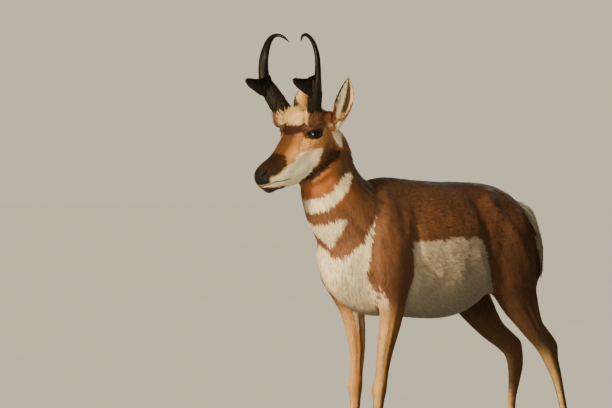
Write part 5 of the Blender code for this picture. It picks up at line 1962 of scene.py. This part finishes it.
def finished(target: Body, name: str, shift: Vector, material: bpy.types.Material,
             replaced: list) -> Body:
    """Moves a piece into the frame, gives it its material and hides the solids that it stands for.

    Args:
        target: The piece.
        name: Its name.
        shift: From the working frame into the frame of the solids.
        material: Its material.
        replaced: The nodes of the solids that it stands for.

    Returns:
        The piece.
    """
    target.name = name
    LOG.info("%s: %d faces", name, len(target.data.polygons))
    target.data.transform(Matrix.Translation(shift))
    target.data.shade_smooth()
    target.data.materials.clear()
    target.data.materials.append(material)
    if replaced:
        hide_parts(*replaced)
    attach(target, "root")
    return target


@dataclass
class Horn:
    """One horn: a hooked beam with a flat forward prong, rough low down and smooth above."""

    side: Side
    voxel: float = 0.0011

    def rows(self, table: list) -> list:
        """The rows of a table, moved to the horn's foot."""
        return [(HORN_FOOT.x + out, HORN_FOOT.y - fore, HORN_FOOT.z + up, a, b)
                for out, fore, up, a, b in table]

    def build(self) -> Body:
        """The horn as one skin, with bark ridges raised on its lower half."""
        table = [(*row[:4], row[4] * (1.0 + 0.20 * max(0.0, 1.0 - max(row[2], 0.0) / 0.11)))
                 for row in HORN_BEAM]
        beam = limb_rings(self.rows(table), 32, 8, self.side.value, HORN_LENGTHWISE)
        prong = limb_rings(self.rows(HORN_PRONG), 24, 6, self.side.value, Vector((0.0, 0.0, 1.0)))
        bodies = [tube("horn", placed(FACING, rings)) for rings in (beam, prong)]
        horn = remeshed(joined("horn", bodies), self.voxel)
        around = Neighbours.of(horn)
        points = around.smoothed(points_of(horn), 1.0, 8)
        put_points(horn, points)
        bark = self.bark(points)
        stretched = points * (1.0, 1.0, 0.16)
        relief = ragged(stretched, 0.0085, 31) * 0.6 + ragged(stretched, 0.0045, 32) * 0.4
        bumps = np.maximum(ragged(points * (1, 1, 0.45), 0.013, 33) - 0.25, 0)
        raised = (relief * 0.0010 + bumps * 0.0016) * bark - 0.0006
        put_points(horn, points + normals_of(horn) * raised[:, None])
        paint_vertices(horn.data, "Bark", np.clip(bark + 0.25 * relief * bark, 0, 1))
        return horn

    def cuff(self, coat: Coat, count: int = 1500) -> Body:
        """The hair that stands up round the horn's foot and hides where it begins.

        Args:
            coat: The coat that its colours and its material come from.
            count: How many tufts.

        Returns:
            The hair as one object.
        """
        chance = np.random.default_rng(61)
        rings = limb_rings(self.rows(HORN_BEAM[:4]), 32, 8, self.side.value, HORN_LENGTHWISE)
        rings = placed(FACING, rings)
        level, turn = chance.uniform(0.5, 7.6, count), chance.integers(0, 32, count)
        row = level.astype(int)
        rise = rings[row + 1, turn] - rings[row, turn]
        root = rings[row, turn] + rise * (level - row)[:, None]
        out = unit(root - rings.mean(axis=1)[row])
        up = unit(rise) + 0.22 * chance.normal(size=rise.shape)
        across = unit(np.cross(up, out))
        size = (0.0150 * (1 + 0.25 * chance.normal(size=count)))[:, None]
        lift = (chance.uniform(0.0015, 0.0050, count) * (9.5 - level) / 8)[:, None]
        half = across * 0.0009
        root = root + out * 0.0022 * (8.5 - level)[:, None] / 8
        middle, tip = root + up * size * 0.5 + out * lift, root + up * size + out * lift * 1.6
        corners = np.stack([root - half, root + half, root + out * 0.0009, middle - half,
                            middle + half, middle + out * 0.0007, tip], axis=1)
        paint = coat.markings.palette
        shades = 0.35 * coat.markings.colours(*coat.lowered(root)) + 0.65 * paint.nape
        inward = ramp(-out[:, 0] * self.side.value - 0.25 * out[:, 1], -0.10, 0.45)
        shades = shades + inward[:, None] * (paint.cream - shades)
        # Darker at the root as painted shade among the hair, paler at the tip
        bright = np.array((0.8, 0.8, 0.85, 0.97, 0.97, 1.0, 1.05))
        bright = bright[None] * (1 + 0.14 * chance.normal(size=(count, 1)))
        shades = shades[:, None] * bright[:, :, None]
        name = "horn_hair_" + self.side.name.lower()
        return coat.meshed(name, corners, shades, seen_aside(root))

    def bark(self, points: Array) -> Array:
        """How rough the horn is at each place, from 1 at its foot to 0 above the prong."""
        local = placed(FACING.inverted(), points) - np.array(mirrored(HORN_FOOT, self.side))
        mottled = ragged(points, 0.03, 34) * 0.018
        edge = ramp(-local[:, 1], 0.020, 0.034) * ramp(local[:, 2], 0.02, 0.05)
        return ramp(-(local[:, 2] + mottled), -0.112, -0.060) * (1 - 0.35 * edge)


@dataclass
class Eye:
    """One eyeball."""

    side: Side

    def build(self) -> Body:
        """The eyeball, with the pupil and iris painted round the way it looks."""
        centre, *axes = eye_axes(self.side)
        eye = ball("eye", centre, (EYE_RADIUS,) * 3, HEAD_FRAME, 6)
        local = placed(HEAD_FRAME.inverted(), points_of(eye)) - np.array(centre)
        local /= EYE_RADIUS
        facing, long, high = (local @ np.array(axis) for axis in axes)
        pupil = 1 - ramp(np.hypot(long / 0.50, high / 0.24), 0.85, 1.05)
        iris = 1 - ramp(np.hypot(long, high), 0.66, 0.72)
        shade = np.tile(tone(12, 9, 8), (len(local), 1))
        shade += (iris * (1 - pupil))[:, None] * (tone(26, 17, 12) - shade)
        shade += (pupil * (facing > 0))[:, None] * (tone(5, 5, 6) - shade)
        paint_vertices(eye.data, "Colour", shade)
        return eye


@dataclass
class Hoof:
    """The two claws of one foot, with rounded edges."""

    region: Region
    outline: tuple = (0.0, 0.06, 0.16, 0.30, 0.44, 0.58, 0.72, 0.84, 0.93, 0.98, 1.0)

    def claw(self, inside: float) -> Body:
        """One claw, flat below, under the foot's middle line."""
        row = leg_rows(self.region)[-2]
        foot = mirrored(Vector((row[0], row[1], 0.0)), self.region.side)
        inside = inside * self.region.side.value
        table = np.array(CLAW)
        rings = []
        for share in np.concatenate([[0.0], np.linspace(0.03, 1.0, 14)]):
            heel, toe, outer = (np.interp(share, table[:, 0], table[:, k]) for k in (1, 2, 3))
            tuck = 0.0009 * (1 - min(share / 0.05, 1.0)) + 0.0012 * max(share - 0.93, 0) / 0.07
            outside, inner = [], []
            for u in self.outline:
                along = foot.y + heel - tuck + (toe - heel + 2 * tuck) * u
                off = (u - 0.38) / (0.62 if u > 0.38 else 0.5)
                swell = max(1.0 - off * off, 0.0) ** 0.8
                near = 0.0009 + 0.004 * max(u - 0.7, 0.0)
                reach = near + (outer - tuck - near) * swell
                height = share * (HOOF_TOP - 0.0003)
                outside.append((foot.x + inside * reach, along, height))
                inner.append((foot.x + inside * near, along, height))
            rings.append([outside[0]] + outside[1:-1] + [inner[-1]] + inner[-2:0:-1])
        return tube("claw", np.array(rings))


def seen_aside(roots: Array) -> Array:
    """Where each root lies on an unwrap that sees the piece from its side."""
    low, high = roots.min(axis=0), roots.max(axis=0)
    return 0.02 + 0.95 * ((roots - low) / (high - low))[:, 1:]


@dataclass
class HairForm:
    """Longer hair in its own place: the mane, the forehead tuft, the rump and the tail."""

    name: str
    count: int
    length: float
    width: float
    height: float
    curl: float
    seed: int
    stray: float = 0.16

    def growth(self, coat: Coat, share: Array, way: Array) -> Growth:
        """Roots where the form stands.

        Args:
            coat: The coat whose skin it grows from.
            share: How dense it is at each vertex of the skin, from 0 to 1.
            way: The way the hair lies at each vertex.

        Returns:
            The roots.
        """
        surface, chance = coat.surface, np.random.default_rng(self.seed)
        density = share * (self.count / max(surface.loads(share).sum(), 1e-9))
        roots, outs, ways, here = coat.rooted(density, self.seed, way, self.stray, chance)
        size = 0.55 + 0.45 * here(share)
        count = len(roots)
        lengths = self.length * size * (1 + 0.18 * chance.normal(size=count).clip(-2, 2))
        widths = np.full(count, self.width) * (1 + 0.15 * chance.normal(size=count))
        heights = self.height * size * (0.45 + 0.60 * chance.random(count))
        regions = here(surface.weights).argmax(axis=1)
        return Growth(roots, outs, ways, lengths, widths, heights, regions,
                      1 + 0.12 * chance.normal(size=count))

    def build(self, coat: Coat, share: Array, way: Array) -> Body:
        """The form's tufts as one object."""
        return coat.piece(self.name, self.growth(coat, share, way), self.curl)


def hair_forms(coat: Coat) -> list:
    """The mane, the forehead tuft, the rump's and the tail's hair."""
    surface = coat.surface
    x, y, z = surface.points.T
    wide, side, local = np.abs(x), np.sign(x), head_local(surface.points)
    nape = ramp(-wide, -0.040, -0.012) * ramp(z, 0.845, 0.89) * ramp(-z, -1.04, -0.99)
    nape *= ramp(y, -0.395, -0.350) * ramp(surface.normals[:, 1], 0.25, 0.6)
    way = rows_of(side * 0.10, 0.45, -1.0)
    forms = [HairForm("mane", 3200, 0.052, 0.0044, 0.011, 0.05, 41).build(coat, nape, way)]
    head = surface.weights[:, Region.HEAD.value] > 0.5
    beside = np.abs(local[:, 0])
    crown = ramp(-beside, -0.042, -0.030) * ramp(local[:, 1], -0.062, -0.045)
    front = np.interp(beside, (0.0, 0.012, 0.024, 0.035), (0.012, 0.010, 0.004, -0.006))
    upward = ramp(surface.normals[:, 2], 0.1, 0.4)
    crown *= ramp(front - local[:, 1], -0.004, 0.006) * upward * head
    way = rows_of(local[:, 0] * 9, -1.0, -0.45) @ np.array(HEAD_FRAME.to_3x3()).T
    form = HairForm("forehead_tuft", 4200, 0.024, 0.0017, 0.012, 0.20, 42)
    forms += [form.build(coat, crown, way), ear_hair(coat)]
    forms += [Horn(side).cuff(coat) for side in Side]
    rump = ramp(outline_distance(np.column_stack([y, z]), RUMP), 0.0, 0.012)
    rump *= ramp(wide, 0.012, 0.022) * ramp(-surface.weights[:, Region.TAIL.value], -0.6, -0.3)
    way = rows_of(side * (0.45 + 4 * wide), 0.3, -0.55)
    form = HairForm("rump_hair", 5600, 0.046, 0.0046, 0.010, 0.06, 43)
    forms.append(form.build(coat, rump, way))
    tail = ramp(surface.weights[:, Region.TAIL.value], 0.4, 0.7)
    way = rows_of(side * 0.25, 0.15, -1.0)
    form = HairForm("tail_hair", 1500, 0.042, 0.0040, 0.007, 0.05, 44)
    forms.append(form.build(coat, tail, way))
    return forms


def ear_hair(coat: Coat) -> Body:
    """The long pale hair inside each ear and round its foot."""
    surface = coat.surface
    share_of_all = np.zeros(len(surface.points))
    way = np.zeros_like(surface.points)
    for region in EAR_REGIONS:
        ear, side = Ear(region.side), region.side
        along, distance, turn = ear.around(surface.points)
        inner = ramp(surface.weights[:, region.value], 0.4, 0.6) * ramp(-distance, -0.97, -0.93)
        place = inner * ramp(-turn, -0.1, 0.5) * ramp(-along, -0.72, -0.45)
        foot, tip, _, opens, across = ear.axes()
        near = (distance < 2.2) & (along < 1.1) & (along > -0.2)
        base = near * ramp(-along, -0.24, -0.10) * ramp(-distance, -1.9, -1.5)
        base *= ramp(-turn, -0.2, 0.5)
        share_of_all += np.maximum(place, 0.8 * base)
        axis = np.array((tip - foot).normalized())
        lean = axis * 0.8 + np.array(opens) * 0.25 - np.array(across) * 0.35 * side.value
        fall = np.array((side.value * 0.5, -0.25, -0.75))
        mix = ramp(along, 0.02, 0.16)[:, None]
        lie = (lean * mix + fall * (1 - mix)) @ np.array(FACING.to_3x3()).T
        way[near] = lie[near]
    return HairForm("ear_hair", 2600, 0.0170, 0.0013, 0.0040, 0.12, 46).build(
        coat, share_of_all, way)


@dataclass
class Lids:
    """The dark rims and the lashes round one eye."""

    side: Side

    def rim(self) -> Body:
        """The rim of the lids: a soft roll along the almond opening."""
        line = np.array([p[:] for p in almond(self.side, 0.985, 0.0, 64)])
        centre, out = (np.array(v) for v in eye_axes(self.side)[:2])
        flat = line - centre
        lift = np.sqrt(np.maximum((EYE_RADIUS + 0.0006) ** 2 - (flat**2).sum(axis=1), 1e-8))
        line = line + lift[:, None] * out
        rings = []
        for k in range(len(line)):
            along = line[(k + 1) % 64] - line[k - 1]
            along /= np.linalg.norm(along)
            away = line[k] - centre
            away /= np.linalg.norm(away)
            wide = np.cross(along, away)
            flat_ring = oval(10, 0.0016, 0.0015, 0.0022)
            rings.append(line[k] + flat_ring[:, :1] * wide + flat_ring[:, 1:] * away)
        rings = np.array(rings + [rings[0]])
        return tube("lids", placed(HEAD_FRAME, rings))

    def lashes(self, coat: Coat) -> Body:
        """The lashes of the upper lid, that stand out and droop."""
        chance = np.random.default_rng(51)
        line = almond(self.side, 1.02, 0.0, 120)
        centre, out = eye_axes(self.side)[:2]
        down = Vector((0.0, -0.15, -1.0))
        corners = []
        for point in line:
            if point.z < centre.z + 0.003:
                continue
            flat = point - centre
            depth = math.sqrt(max(EYE_RADIUS**2 - flat.length_squared, 1e-8))
            root = point + out * (depth + 0.001)
            for _ in range(2):
                way = out * 0.8 + flat.normalized() * 0.35 + Vector(chance.normal(size=3)) * 0.10
                way.normalize()
                size = 0.0080 * chance.uniform(0.7, 1.1)
                across = way.cross(down).normalized() * 0.00035
                up = way.cross(across).normalized() * 0.0003
                bend = root + way * size * 0.55
                tip = root + way * size + down * size * 0.45
                corners.append([root - across, root + across, root + up,
                                bend - across, bend + across, bend + up, tip])
        corners = np.array([[c[:] for c in tuft] for tuft in corners])
        corners = placed(HEAD_FRAME, corners)
        shades = np.tile(tone(16, 12, 10), (*corners.shape[:2], 1))
        name = "lashes_" + self.side.name.lower()
        return coat.meshed(name, corners, shades, seen_aside(corners[:, 0]))


@dataclass
class Studio:
    """Floor, lights and camera."""

    shift: Vector
    azimuth: float = math.radians(42.0)
    distance: float = 14.0
    camera_height: float = 1.05
    pixels_a_metre: float = 360.0
    picture_width: float = 612.0
    aim_right: float = -0.3139
    aim_height: float = 0.803

    def floor(self) -> None:
        """A wide pale disc."""
        shell = bmesh.new()
        bmesh.ops.create_circle(shell, cap_ends=True, segments=96, radius=45.0)
        mesh = bpy.data.meshes.new("floor")
        shell.to_mesh(mesh)
        shell.free()
        mesh.materials.append(FloorFinish().make())
        made = linked("floor", mesh)
        made.visible_diffuse = False

    def light(self, kind: str, name: str, place: tuple, aim: tuple, **settings: float) -> Body:
        """A light.

        Args:
            kind: SUN, AREA or SPOT.
            name: Its name.
            place: Where it stands, or for a sun the way it is seen in.
            aim: The place it looks at.
            settings: Its power, colour and width.

        Returns:
            The light as an object.
        """
        light = bpy.data.lights.new(name, kind)
        for setting, value in settings.items():
            setattr(light, setting, value)
        made = linked(name, light)
        made.location = place
        made.rotation_euler = (Vector(aim) - Vector(place)).to_track_quat("-Z", "Y").to_euler()
        return made

    def camera(self) -> None:
        """The camera at the photograph's angle and framing."""
        back = Vector((math.sin(self.azimuth), -math.cos(self.azimuth), 0.0))
        right = Vector((math.cos(self.azimuth), math.sin(self.azimuth), 0.0))
        data = bpy.data.cameras.new("camera")
        data.sensor_width = 36.0
        data.lens = data.sensor_width * self.pixels_a_metre * self.distance / self.picture_width
        data.clip_end = 120.0
        made = linked("camera", data)
        made.location = self.shift + back * self.distance + Vector((0.0, 0.0, self.camera_height))
        aim = self.shift + right * self.aim_right + Vector((0.0, 0.0, self.aim_height))
        made.rotation_euler = (aim - made.location).to_track_quat("-Z", "Y").to_euler()
        bpy.context.scene.camera = made

    def build(self) -> None:
        """All of the studio."""
        self.floor()
        self.camera()
        self.light("SUN", "sun", (0.10, -1.0, 0.38), (0.0, 0.0, 0.0), energy=7.2,
                   angle=math.radians(7.0), color=(1.0, 0.74, 0.42))
        self.light("SUN", "back", (-0.35, 0.80, 0.42), (0.0, 0.0, 0.0), energy=0.75,
                   angle=math.radians(20.0), color=(1.0, 0.92, 0.82))
        self.light("AREA", "fill", (4.0, -6.6, 2.2), (0.0, 0.0, 0.70), energy=110.0,
                            size=2.5, color=(1.0, 0.80, 0.54))
        self.light("SPOT", "face", (2.1, -2.2, 0.45), (0.0, -0.60, 0.98), energy=300.0,
                   spot_size=math.radians(25.0), spot_blend=0.8, shadow_soft_size=0.25,
                   color=(1.0, 0.80, 0.52))
        r = Recipe(bpy.data.worlds.new("studio"), "Background")
        light, seen = (0.104, 0.090, 0.070, 1.0), (0.750, 0.650, 0.466, 1.0)
        colour = r.mixed(r.add("LightPath", "Is Camera Ray", {}), light, seen)
        bpy.context.scene.world = r.done({"Color": colour})


FLESH_NODES = ["head", "neck", "torso", "tail", "leg_fore_left", "leg_fore_right",
               "leg_hind_left", "leg_hind_right", "ear_left", "ear_right"]


def main() -> None:
    """Builds every piece in order."""
    logging.basicConfig(level=logging.INFO, format="%(name)s: %(message)s")
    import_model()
    low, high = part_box("eye_left")
    shift = (low + high) / 2 - HEAD_FRAME @ EYE_PLACE
    flesh = Flesh()
    skin = flesh.build()
    surface = Surface.of(skin, flesh)
    markings = Markings(flesh)
    paint_vertices(skin.data, "Colour", markings.colours(surface.points, surface.normals) * 0.9)
    coat = Coat(surface, flesh, markings, shift, HairFinish().make())
    for piece in coat.build() + hair_forms(coat):
        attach(piece, "root")
    finished(skin, "skin", shift, SkinFinish().make(), FLESH_NODES)
    horn_finish, eye_finish = HornFinish().make(), EyeFinish().make()
    hoof_finish = HoofFinish().make()
    for side in Side:
        name = side.name.lower()
        horn, eye, rim = Horn(side).build(), Eye(side).build(), Lids(side).rim()
        finished(horn, "horn_sheath_" + name, shift, horn_finish, ["horn_" + name])
        finished(eye, "eyeball_" + name, shift, eye_finish, ["eye_" + name])
        shades = np.tile(Palette.black, (len(rim.data.vertices), 1))
        paint_vertices(rim.data, "Colour", shades)
        finished(rim, "lid_rim_" + name, shift, skin.data.materials[0], [])
        lashes = Lids(side).lashes(coat)
        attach(lashes, "root")
    for region in LEGS:
        for kind, inside in (("outer", 1.0), ("inner", -1.0)):
            node = "hoof_%s_%s" % (region.name.lower(), kind)
            finished(Hoof(region).claw(inside), "wall_" + node, shift, hoof_finish, [node])
    Studio(shift).build()


if __name__ == "__main__":
    main()
